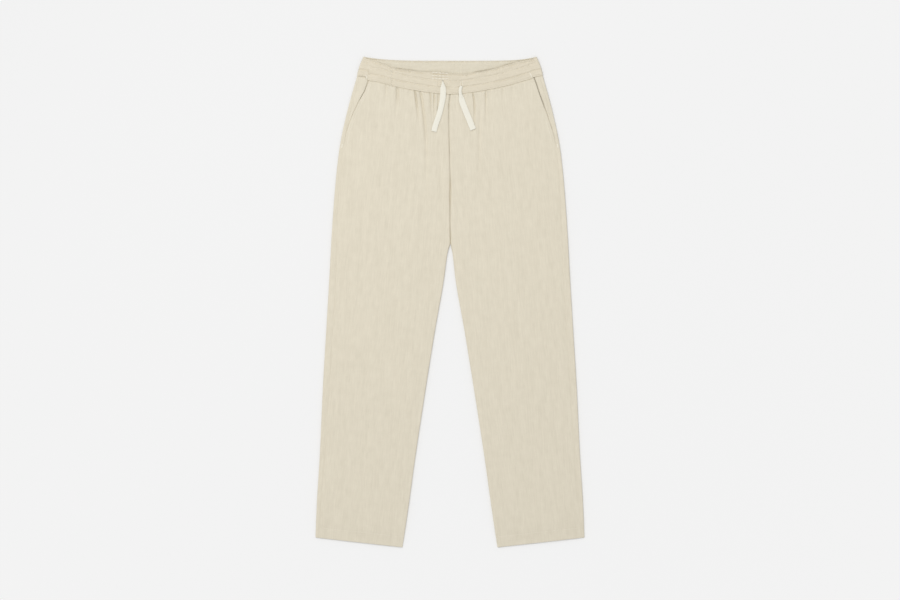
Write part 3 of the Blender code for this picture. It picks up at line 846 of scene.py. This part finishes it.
def makeDrawstring(side):
    line = routeLine(routes[side], tapes["rings"])
    steps = np.gradient(line, axis=0)
    steps /= np.linalg.norm(steps, axis=1, keepdims=True)
    walk = walkAlong(line)
    acrossX, acrossDrop = -steps[:, 1], steps[:, 0]
    # it leaves its buttonhole rolled, and opens flat over the first few centimetres
    share = steadyCurve(*tapes["opening"][side], walk)
    half = tapes["width"] / 2 * share
    rest = np.max([
        clothTop(line[:, 0] + acrossX * half * o, line[:, 1] + acrossDrop * half * o)
        for o in np.linspace(-1, 1, 9)
    ], axis=0)
    smooth = rest
    for gather in (np.max, np.mean):
        smooth = np.array([gather(smooth[max(0, i - 2):i + 3]) for i in range(len(rest))])
    base = np.maximum(smooth, rest) + tapes["lift"]
    base[:2] = [band["top"] - depth for depth in tapes["exitDepths"]]
    roll = tapes["roll"] * (1 - share) / tapes["rolled"] + tapes["crown"]
    # ring: across the top, round one edge, back along the bottom, round the other
    widths = np.linspace(-0.96, 0.96, 13)
    ringAt = np.concatenate([widths, [1.0], widths[::-1], [-1.0], widths[:1]])
    ringUp = np.concatenate([np.ones(13), [0.0], -np.ones(13), [0.0, 1.0]])
    cup = np.abs(ringAt) ** 2
    wave = tapes["wave"] * softNoise(walk[:, None] / 0.011, ringAt * 0.8 + 5, tapes["waveSeeds"][side])
    x = line[:, :1] + acrossX[:, None] * half[:, None] * ringAt
    drop = line[:, 1:] + acrossDrop[:, None] * half[:, None] * ringAt
    z = base[:, None] + tapes["thickness"] / 2 * (1 + ringUp * (1 - 0.35 * cup))
    z = z + roll[:, None] * (1 - cup) + np.maximum(wave, 0)
    points = place(x, drop, z)
    grain = np.stack([
        np.broadcast_to(ringAt * tapes["width"] / 2, x.shape),
        np.broadcast_to(walk[:, None], x.shape) + 0.5 * (ringUp < 0),
    ], axis=2)
    piece = closedPiece("drawstring" + side.capitalize(), points, grain, tapeMaterial)
    finishPiece(piece, "drawstring_" + side)


for side in sides:
    makeDrawstring(side)
print("drawstring made")

bandFront = makeBand("front", bandMaterial)
bandBack = makeBand("back", insideMaterial)
finishPiece(bandFront, "waistband_front")
finishPiece(bandBack, "waistband_back")
print("waistband made")


# Legs

legs = {
    # rows of places down a panel: start and end below the band's seam, and how many
    "rows": (
        (0.0, 0.006, 8), (0.006, 0.140, 84), (0.140, 0.420, 56),
        (0.420, 0.960, 60), (0.960, 1.0003, 22),
    ),
    "frontColumns": 176,
    "frontBias": 1.15,
    "backColumns": 90,
    "curlColumns": 8,
    "tuck": 0.0012,
    "closedTuck": 0.0001,  # the same below the crotch
    "crotchDrop": 0.395,
    "sideTuck": {"in": 0.0003, "down": 0.00035, "start": 0.0004},
    # the back's edge tucked under the front's outline: distances in and down
    "backTuck": ((0.0030, 0.0016, 0.0005), (0.00135, 0.00125, 0.0009)),
    "turnedColumns": 22,  # columns of the back that turn up over the outline
    "grainSlant": 4.5,  # degrees
    "hemFold": 0.00052,
    "hemDepth": 0.0230,
    "hemStitch": 0.0215,  # height of its stitches above the edge
    "hemDip": 0.00022,
    "hemSettle": 0.44,
    "hemSettleReach": 0.040,
    "hiddenRows": 7,  # rows of the turned-in hem that show other threads
    "seamDip": 0.00042,
    "seamReach": 0.0028,
    "bandDip": 0.0010,  # beside the band's seam the cloth dips under the band
    "bandDipReach": 0.0022,
    "bandRidge": 0.00035,  # with a soft ridge below it
    "bandRidgeDrop": 0.0048,
    "strayFade": 0.03,
    "hemDrop": 1.0422,
    "forkDrop": 0.42,  # where the groove along the centre seam ends
    "forkFade": 0.03,
    "pinchReach": 0.0017,  # width of the centre seam's pinches
    "pinchLeast": {"drop": 0.37, "near": 0.004, "height": 0.0007},  # the front stays above the back there
}
pockets = {
    # distance of each mouth from the outline, going down the side
    "mouthDrops": (0.0419, 0.056, 0.068, 0.081, 0.094, 0.107, 0.120, 0.133, 0.146, 0.160, 0.194),
    "mouth": {
        "right": (0.0262, 0.0258, 0.0248, 0.0218, 0.0186, 0.0163, 0.0135, 0.0118, 0.0100, 0.0085, 0.0079),
        "left": (0.0206, 0.0190, 0.0184, 0.0177, 0.0166, 0.0154, 0.0134, 0.0124, 0.0109, 0.0095, 0.0080),
    },
    "closeDrop": 0.150,  # where the mouth starts to close into the side seam
    "closeLength": 0.040,
    "fold": 0.00065,
    "turnIn": 0.0120,
    "gape": {"right": 0.0002, "left": 0.0006},  # how far the mouth's edge stands up
    "gapeReach": 0.009,
    "gapeLength": 0.11,
    # how deep the gap along each mouth is, going down the side
    "gap": {
        "right": (
            (0.042, 0.056, 0.082, 0.090, 0.100, 0.120, 0.160, 0.194),
            (0.0015, 0.0023, 0.0023, 0.0014, 0.0010, 0.0009, 0.0007, 0.0005),
        ),
        "left": (
            (0.042, 0.055, 0.094, 0.108, 0.126, 0.160, 0.194),
            (0.0034, 0.0034, 0.0030, 0.0019, 0.0012, 0.0009, 0.0005),
        ),
    },
    "gapReach": {"right": 0.0019, "left": 0.0030},
    "facingEnd": 0.188,
    "facingUnder": 0.012,  # how far the facing runs on under the front
    "leastHeight": 0.0011,  # the facing stays above the back panel
    "seamDip": {"right": 0.0020, "left": 0.0010},  # how far the cloth beside the mouth sinks at the band
}
# the centre seam: drops, how far it wanders sideways, and how deep it is pinched
centreSeam = (
    (
        0.0809, 0.0893, 0.106, 0.118, 0.141, 0.176, 0.195, 0.211, 0.246,
        0.262, 0.280, 0.297, 0.315, 0.332, 0.367, 0.385, 0.402, 0.430,
    ),
    (
        0.0000, -0.0006, -0.0026, -0.0024, -0.0026, -0.0019, -0.0013, -0.0009, 0.0000,
        0.0004, 0.0008, 0.0005, 0.0003, 0.0003, 0.0002, 0.0007, 0.0012, 0.0,
    ),
    (
        0.0008, 0.0012, 0.0018, 0.0009, 0.0005, 0.0006, 0.0011, 0.0007, 0.0002,
        0.0006, 0.0024, 0.0034, 0.0022, 0.0004, 0.0001, 0.0010, 0.0009, 0.0,
    ),
)
panelDrops = [0.0]
for rowStart, rowEnd, rowCount in legs["rows"]:
    panelDrops += list(np.linspace(rowStart, rowEnd, rowCount + 1)[1:])
panelDrops = np.array(panelDrops) + seamDrops["side"]


def mouthInset(side, row):
    slant = np.interp(row["outerDrop"], pockets["mouthDrops"], pockets["mouth"][side])
    return np.maximum(row["wrap"] + trousers["gap"], slant)


def curlArc(degrees):
    # radius and angle of a bent edge, with the same fall as in the CAD part
    steps = np.arange(1, 4) / 3
    length = trousers["legRise"] / np.sin(math.pi / 2 * steps).sum()
    fall = length * np.sin(np.radians(degrees) * steps).sum(axis=1, keepdims=True)
    angle = np.radians(np.maximum(degrees, 1.0))
    return fall / (1 - np.cos(angle)), angle


def seamGroove(distance):
    return legs["seamDip"] * bell(distance, legs["seamReach"])


def followSeam(side, x, drop, below, share=1):
    # near the band a panel follows the band's own seam
    return drop + np.interp(x, *seamStray[side]) * share * (1 - ease(below / legs["strayFade"]))


def rowsUnderBand(first, steps, height):
    # rows that run up under the band from a panel's first row
    rows = np.array([first] * len(steps))
    for row, (up, fall) in zip(rows, steps):
        row[:, 1] += up
        row[:, 2] = height(row[:, 2], fall)
    return rows


def hemFlatten(outerDrop):
    # share of the leg's height that is left as both layers settle towards the hem
    near = 1 - (legs["hemDrop"] - outerDrop) / legs["hemSettleReach"]
    return 1 - legs["hemSettle"] * ease(near)


def hemValley(row, x):
    # the hem's stitching draws the cloth in a little
    above = legs["hemDrop"] - row["outerDrop"]
    pucker = 1 + 0.7 * softNoise(x / 0.006, 3.0, 61)
    ripple = 0.00010 * softNoise(x / 0.011, above / 0.012, 62) * (above < 0.035)
    dip = -legs["hemDip"] * bell(above - legs["hemStitch"], 0.0016) * pucker
    return dip + ripple * ease((0.035 - above) / 0.01)


def hemRows(points, drops, upwards):
    # the hem: the cloth's edge turned in under itself, as rows to add below the last one
    normal = np.cross(np.gradient(points, axis=1), np.gradient(points, axis=0))
    normal /= np.maximum(np.linalg.norm(normal, axis=2, keepdims=True), 1e-12)
    middle = normal[normal.shape[0] // 2, normal.shape[1] // 2, 2]
    normal = normal if (middle > 0) == upwards else -normal
    radius = legs["hemFold"]
    onward = points[-1] - points[-3]
    onward /= np.linalg.norm(onward, axis=1, keepdims=True)
    rows = []
    for a in np.linspace(0, math.pi, 7)[1:]:
        rows.append(points[-1] + onward * radius * math.sin(a) - normal[-1] * radius * (1 - math.cos(a)))
    for back in np.linspace(0, legs["hemDepth"], 7)[1:]:
        at = drops[-1] - back
        i = int(np.clip(np.searchsorted(drops, at) - 1, 0, len(drops) - 2))
        t = (at - drops[i]) / (drops[i + 1] - drops[i])
        facing = normal[i] * (1 - t) + normal[i + 1] * t
        rows.append(points[i] * (1 - t) + points[i + 1] * t - facing * 2 * radius)
    return np.array(rows)


def drawToFolds(side, inset, row):
    # moves the columns closer together along the sharpest folds
    scale = sectionWidth(row) / (row["outerX"] - row["innerX"])
    for top, middle, end, start, length, width, depth in folds[side]:
        if depth < foldShape["sharp"]:
            continue
        t = np.clip((row["outerDrop"] - seamDrops["side"] - 0.012) / length, 0, 1)
        away = inset - (row["outerX"] - foldCentre(top, middle, end, t)) * scale
        inset = inset - 0.5 * away * bell(away, foldShape["sharpReach"]) * ease((1 - t) / 0.5)
    return inset


def layPanel(name, node, side, table, upwards, across=0, offset=0):
    # threads run down each leg, which slants outwards a little
    slant = math.radians(legs["grainSlant"]) * sides[side]
    x, y = table[:, :, 0], table[:, :, 1]
    u = x * math.cos(slant) + y * math.sin(slant)
    v = y * math.cos(slant) - x * math.sin(slant)
    grain = np.stack([u + across, v], axis=-1) + offset
    if not offset:
        grain[-legs["hiddenRows"]:, :, 1] += 0.3
    piece = clothPiece(name + side.capitalize(), table, grain, upwards)
    finishPiece(piece, node + side)
    return piece


def makeFront(side):
    sign = sides[side]
    drops = panelDrops[:, None]
    row = sectionAt(side, drops)
    width = sectionWidth(row)
    radius, angle = curlArc(row["frontCurl"])
    reach = radius * np.sin(angle)
    below = drops - seamDrops["side"]
    start = mouthInset(side, row)
    opened = 1 - ease((drops - pockets["closeDrop"]) / pockets["closeLength"])
    # outer edge: a folded mouth beside the pocket, and a tucked side seam below it
    fold = pockets["fold"]
    turns = np.linspace(math.pi, 0, 6)
    foldIn = np.concatenate([[pockets["turnIn"], pockets["turnIn"] * 0.5], fold * (1 - np.sin(turns))])[:-1]
    foldDown = np.concatenate([[2 * fold, 2 * fold], fold * (1 - np.cos(turns))])[:-1]
    count = len(foldIn)
    tuck = legs["sideTuck"]
    edgeIn = foldIn * opened + np.linspace(-tuck["in"], tuck["in"], count) * (1 - opened)
    edgeDown = foldDown * opened + tuck["down"] * np.linspace(1, 0, count) ** 2 * (1 - opened)
    # middle, closer together towards the centre
    share = 1 - (1 - np.linspace(0, 1, legs["frontColumns"])) ** legs["frontBias"]
    first = start + fold * opened + tuck["start"] * (1 - opened)
    flat = drawToFolds(side, first + (width - reach - first) * share, row)
    # inner edge: an arc down to the seam, then a short tuck
    arcs = np.linspace(0, 1, legs["curlColumns"] + 1)[1:]
    arcIn = width - reach + radius * np.sin(angle * arcs)
    arcDown = radius * (1 - np.cos(angle * arcs))
    closed = ease((drops - legs["crotchDrop"]) / 0.03)
    tucked = legs["tuck"] * (1 - closed) + legs["closedTuck"] * closed
    tucks = np.array([0.5, 1.0])
    inset = np.hstack([start + edgeIn, flat, arcIn, width + 0 * tucks])
    down = np.hstack([edgeDown, 0 * flat, arcDown, arcDown[:, -1:] + tucked * tucks])
    x, drop = sectionPoint(row, inset)
    drop = followSeam(side, np.minimum(x, 0.1785), drop, below)
    z = frontTop(side, x * sign, drop) - down
    z -= seamGroove(inset - width) * ease((legs["forkDrop"] - drop) / legs["forkFade"])
    z -= np.interp(drop, centreSeam[0], centreSeam[2]) * bell(inset - width, legs["pinchReach"])
    least = legs["pinchLeast"]
    seam = (row["outerDrop"] < least["drop"]) & (inset > width - least["near"])
    z = np.where(seam, np.maximum(z, least["height"]), z)
    z -= seamGroove(inset - start) * (1 - opened)
    along = np.sin(math.pi * np.clip(below / pockets["gapeLength"], 0, 1))
    gape = pockets["gape"][side] * bell(inset - start, pockets["gapeReach"]) * along * opened
    gape[:, :2] = 0
    z = z + gape + hemValley(row, x * sign)
    z -= legs["bandDip"] * bell(below, legs["bandDipReach"])
    z += legs["bandRidge"] * bell(below - legs["bandRidgeDrop"], legs["bandDipReach"])
    z *= hemFlatten(row["outerDrop"])
    wander = np.interp(drop, centreSeam[0], centreSeam[1]) * bell(x, 0.03)
    points = place(x * sign + wander, drop, z)
    steps = ((0.0085, 0.0016), (0.006, 0.0015), (0.0035, 0.0011), (0.0016, 0.0005))
    lower = lambda height, fall: np.minimum(height - fall * 0.4, 0.0041 - fall * 0.35)
    tops = rowsUnderBand(points[0], steps, lower)
    tops[:, :count, 2] = tops[:, count:count + 1, 2] - foldDown * 0.4
    hems = hemRows(points, panelDrops, True)
    # the threads run on down over the bent inner edge
    across = -sign * np.pad(down, ((len(tops), len(hems)), (0, 0)), mode="edge")
    across[:, :count + 1] = 0
    piece = layPanel("frontLeg", "front_leg_", side, np.concatenate([tops, points, hems]), True, across)


def makeBack(side):
    sign = sides[side]
    drops = panelDrops[::2, None]
    row = sectionAt(side, drops, "back")
    over = sectionAt(side, drops)
    width = sectionWidth(row)
    radius, angle = curlArc(row["backCurl"])
    flatCurl = row["backCurl"] < 1
    reach = np.where(flatCurl, 0.001, radius * np.sin(angle))
    top = trousers["legTop"]
    turn = top / 2
    wrap = row["wrap"]
    tuckIn, tuckDown = np.array(legs["backTuck"])
    strip = wrap + (turn - wrap) * np.linspace(0.0, 1, 8)
    stripZ = top - seamGroove(strip - wrap) * 1.15
    angles = np.linspace(0, math.pi, 13)[1:]
    flat = turn + (width - reach - turn) * np.linspace(0, 1, legs["backColumns"] + 1)[1:]
    arcs = np.linspace(0, 1, 7)[1:]
    arcIn = width - reach + np.where(flatCurl, reach * arcs, radius * np.sin(angle * arcs))
    arcZ = np.where(flatCurl, 0, radius * (1 - np.cos(angle * arcs)))
    around = turn * (1 - np.sin(angles)) + 0 * wrap
    inset = np.hstack([wrap + tuckIn, strip, around, flat, arcIn])
    around = turn * (1 + np.cos(angles)) + 0 * wrap
    z = np.hstack([top - tuckDown + 0 * wrap, stripZ, around, 0 * flat, arcZ])
    underX, underDrop = sectionPoint(row, inset, "back")
    overX, overDrop = sectionPoint(over, inset)
    turned = np.where(inset <= wrap + 1e-5, np.clip(z / top, 0, 1), 0)
    x = underX * (1 - turned) + overX * turned
    drop = underDrop * (1 - turned) + overDrop * turned
    below = drops - seamDrops["side"]
    drop = followSeam(side, x, drop, below, turned)
    z = z * hemFlatten(row["outerDrop"])
    z -= 0.8 * pockets["seamDip"][side] * bell(below, legs["bandDipReach"]) * (turned > 0.7)
    points = place(x * sign, drop, z)
    upper = np.clip(points[0][:, 2] / top, 0, 1)
    lower = lambda height, fall: height * (1 - 0.28 * fall) + 0.0024 * fall * (1 - upper)
    steps = ((0.0085, 1.0), (0.005, 0.9), (0.0022, 0.5))
    tops = rowsUnderBand(points[0], steps, lower)
    for raised, (_, fall) in zip(tops, steps):
        raised[:legs["turnedColumns"] + 2, 0] -= sign * 0.0008 * fall
    table = np.concatenate([tops, points, hemRows(points, panelDrops[::2], False)])
    # the threads run on round the outline
    across = sign * table[:, :, 2]
    across[:, legs["turnedColumns"]:] = 0
    piece = layPanel("backLeg", "back_leg_", side, table, False, across)


def makeFacing(side):
    drops = np.linspace(seamDrops["side"], pockets["facingEnd"], 60)[:, None]
    row = sectionAt(side, drops)
    mouth = mouthInset(side, row)
    start = row["wrap"] + trousers["gap"]
    gapReach = pockets["gapReach"][side]
    shown = start + (np.maximum(mouth - gapReach, start + 0.0004) - start) * np.linspace(0.02, 1, 12)
    brink = shown[:, -1:] + (mouth - shown[:, -1:]) * np.linspace(0, 1, 7)[1:]
    hidden = mouth + pockets["facingUnder"] * np.linspace(0, 1, 6)[1:]
    inset = np.hstack([start + np.array([-0.0003, 0.0001]), shown, brink, hidden])
    depth = np.interp(row["outerDrop"], *pockets["gap"][side])
    z = trousers["legTop"] - 0.0004 * ease((inset - mouth + 0.012) / 0.009)
    z -= depth * ease((inset - mouth + gapReach) / (gapReach * 0.8))
    z -= seamGroove(inset - start)
    z[:, 0] -= 0.00035
    z[:, 1] -= 0.00010
    x, drop = sectionPoint(row, inset)
    below = drops - seamDrops["side"]
    drop = followSeam(side, np.maximum(x, 0.1797), drop, below)
    least = pockets["leastHeight"]
    z = np.maximum(z - pockets["seamDip"][side] * bell(below, legs["bandDipReach"]), least)
    points = place(x * sides[side], drop, z)
    steps = ((0.0065, 0.0014), (0.004, 0.0012), (0.0018, 0.0006))
    lower = lambda height, fall: np.clip(height - 0.2 * fall, least, 0.0038 - 0.3 * fall)
    tops = rowsUnderBand(points[0], steps, lower)
    table = np.concatenate([tops, points])
    piece = layPanel("pocketFacing", "pocket_facing_", side, table, True, offset=0.17)


for side in sides:
    makeBack(side)
    makeFacing(side)
    makeFront(side)
print("legs made")


# Stitching

stitches = {
    "length": 0.0023,
    "pitch": 0.0029,
    "width": 0.00052,
    "boldWidth": 0.00080,  # thicker thread of the bar tacks and the pockets
    "height": 0.00036,
    "lift": 0.00008,
    "tackDash": (0.0026, 0.0046),  # length and pitch
    "boxDash": (0.0046, 0.0074),
    # width and pitch of close stitches laid across a line
    "zigzag": (0.0019, 0.0006),
    "holeSide": (0.0018, 0.0007),
    "holeEnd": (0.0016, 0.0007),
    "barTack": (0.0024, 0.00055),
    "holeEdge": 0.0016,  # distance of a buttonhole's side stitches from its middle
    "holeBar": (0.0022, 0.0010),  # half the width of its end bars, and how far they lie beyond its ends
    "mouthRows": (0.0018, 0.0068),  # distances of the pocket's rows from its mouth
    "facingRow": 0.0032,  # how far outside it the facing's own row lies
    "mouthPlaces": (0.049, 0.186, 120),  # drops where the rows start and end, and places along them
    "mouthShort": 110,  # places along the row near the mouth, and along the facing's
    "facingShort": 35,
    "hemInset": (0.002, 0.003, 260),  # how far the hem's row stays from both edges, and its places
}


def stitchShape():
    # one stitch: a short rounded float of thread, bent down at both ends
    bpy.ops.object.select_all(action="DESELECT")
    bpy.ops.mesh.primitive_uv_sphere_add(segments=6, ring_count=5, radius=0.5, rotation=(0, math.pi / 2, 0))
    bpy.ops.object.transform_apply(location=False, rotation=True, scale=False)
    piece = bpy.context.object
    shape = np.empty(len(piece.data.vertices) * 3, np.float32)
    piece.data.vertices.foreach_get("co", shape)
    faces = [tuple(face.vertices) for face in piece.data.polygons]
    bpy.data.objects.remove(piece, do_unlink=True)
    return shape.reshape(-1, 3).astype(float), faces


stitchPoints, stitchFaces = stitchShape()


def lineStitches(line):
    # both ends of each stitch along a line of points
    walk = walkAlong(line)
    count = max(1, int(walk[-1] / stitches["pitch"]))
    at = (np.arange(count) + 0.5) * walk[-1] / count
    reach = stitches["length"] / 2
    spot = lambda s: np.stack([np.interp(s, walk, line[:, i]) for i in range(3)], axis=1)
    return list(zip(spot(at - reach), spot(at + reach)))


def sewStitches(name, ends, thick=stitches["width"]):
    # joins a copy of the stitch between each pair of ends
    places, faces = [], []
    for a, b in ends:
        along = b - a
        length = np.linalg.norm(along)
        along = along / length
        across = np.cross((0, 0, 1.0), along)
        across /= np.linalg.norm(across)
        rise = np.cross(along, across)
        local = stitchPoints * (length, thick, stitches["height"])
        local[:, 2] += stitches["lift"] * (1 - (2 * stitchPoints[:, 0]) ** 2)
        base = len(places) * len(stitchPoints)
        places.append((a + b) / 2 + local[:, :1] * along + local[:, 1:2] * across + local[:, 2:3] * rise)
        faces += [tuple(base + i for i in face) for face in stitchFaces]
    mesh = bpy.data.meshes.new(name)
    mesh.from_pydata(np.concatenate(places).tolist(), [], faces)
    mesh.shade_smooth()
    mesh.materials.append(threadMaterial)
    piece = bpy.data.objects.new(name, mesh)
    bpy.context.scene.collection.objects.link(piece)
    finishPiece(piece, None)


def sewLines(name, lines, thick=stitches["width"]):
    sewStitches(name, [ends for line in lines for ends in lineStitches(line)], thick)


def bandLine(which, distance, fromTop=False):
    # a row of topstitching on the band, at a distance up from its seam or down from its top
    along = np.linspace(-0.985, 0.985, 600)
    level = np.full(600, 0.5)
    for _ in range(4):
        half = bandHalf(level)
        top, seam = bandEdges(along * (half - band["rise"]), half, which)
        level = 1 - distance / (seam - top) if fromTop else distance / (seam - top)
    depth = 0.0 if which == "front" else band["thickness"]
    return bandPoint(along, level, np.full(600, depth), which)


def heading(start, end):
    # start, direction and length of a line between two places, given as x and drop
    way = np.subtract(end, start)
    length = np.linalg.norm(way)
    return np.asarray(start), way / length, length


def satin(start, end, width, pitch):
    # close stitches laid across a line
    start, along, length = heading(start, end)
    across = np.array([-along[1], along[0]]) * width / 2
    found = []
    for at in np.arange(0, length, pitch):
        middle = start + along * at
        spots = (middle - across, middle + across + along * pitch * 0.5)
        found.append([place(x, drop, clothTop(x[None], drop[None])[0]) for x, drop in spots])
    return found


def dashes(start, end, length, pitch):
    # groups of close stitches, as a zigzag makes them
    start, along, whole = heading(start, end)
    found = []
    for at in np.arange(0, whole - length, pitch):
        first = start + along * at
        found += satin(first, first + along * length, *stitches["zigzag"])
    return found


def frontPlace(side, outerDrops, inset):
    # places on a front panel's outer face at a distance in from the outline
    row = sectionAt(side, outerDrops)
    x, drop = sectionPoint(row, inset)
    x = x * sides[side]
    z = (frontTop(side, x, drop) + hemValley(row, x)) * hemFlatten(row["outerDrop"])
    return place(x, drop, z)


lines = [bandLine("front", row) for row in band["stitchRows"]]
sewLines("waistbandStitchingFront", lines + [bandLine("front", band["topRow"], True)])

tackX, tackTop, tackFoot, _ = band["pressLines"][0]
ends = dashes((tackX, tackTop), (tackX, tackFoot), *stitches["tackDash"])
sewStitches("elasticTacking", ends)

ends = []
boxStart, boxEnd = band["box"]["ends"]
for startDrop, endDrop in band["box"]["rows"]:
    ends += dashes((boxStart, startDrop), (boxEnd, endDrop), *stitches["boxDash"])
sewStitches("boxStitching", ends, stitches["boldWidth"])

ends = []
for holeX, low, high in band["buttonholes"]:
    half, beyond = stitches["holeBar"]
    for x in (holeX - stitches["holeEdge"], holeX + stitches["holeEdge"]):
        ends += satin((x, low), (x, high), *stitches["holeSide"])
    for drop in (low - beyond, high + beyond):
        ends += satin((holeX - half, drop), (holeX + half, drop), *stitches["holeEnd"])
sewStitches("buttonholeStitching", ends)

lines = [bandLine("back", 0.0018), bandLine("back", band["topRow"], True)]
sewLines("waistbandStitchingBack", lines)

tacks = {
    "right": (((-0.1822, 0.0405), (-0.1802, 0.0480)), ((-0.2328, 0.1900), (-0.2345, 0.1975))),
    "left": (((0.1722, 0.0335), (0.1776, 0.0440)), ((0.2325, 0.1895), (0.2343, 0.1970))),
}
for side in sides:
    ends = []
    for first, last in tacks[side]:
        ends += satin(first, last, *stitches["barTack"])
    sewStitches("barTacks" + side.capitalize(), ends, stitches["boldWidth"])
    drops = np.linspace(*stitches["mouthPlaces"])
    mouth = mouthInset(side, sectionAt(side, drops))
    near, far = stitches["mouthRows"]
    rows = [(stitches["mouthShort"], near), (len(drops), far)]
    if side == "right":
        rows.append((stitches["facingShort"], -stitches["facingRow"]))
    lines = [frontPlace(side, drops[:count], mouth[:count] + away) for count, away in rows]
    sewLines("pocketStitching" + side.capitalize(), lines, stitches["boldWidth"])
    drops = np.array([legs["hemDrop"] - legs["hemStitch"]])
    row = sectionAt(side, drops)
    outer, inner, count = stitches["hemInset"]
    insets = np.linspace(row["wrap"][0] + outer, sectionWidth(row)[0] - inner, count)
    sewLines("hemStitching" + side.capitalize(), [frontPlace(side, drops, insets)])
print("stitching made")

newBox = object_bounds()
sizes = {"cad": [list(corner) for corner in cadBox], "visual": [list(corner) for corner in newBox]}
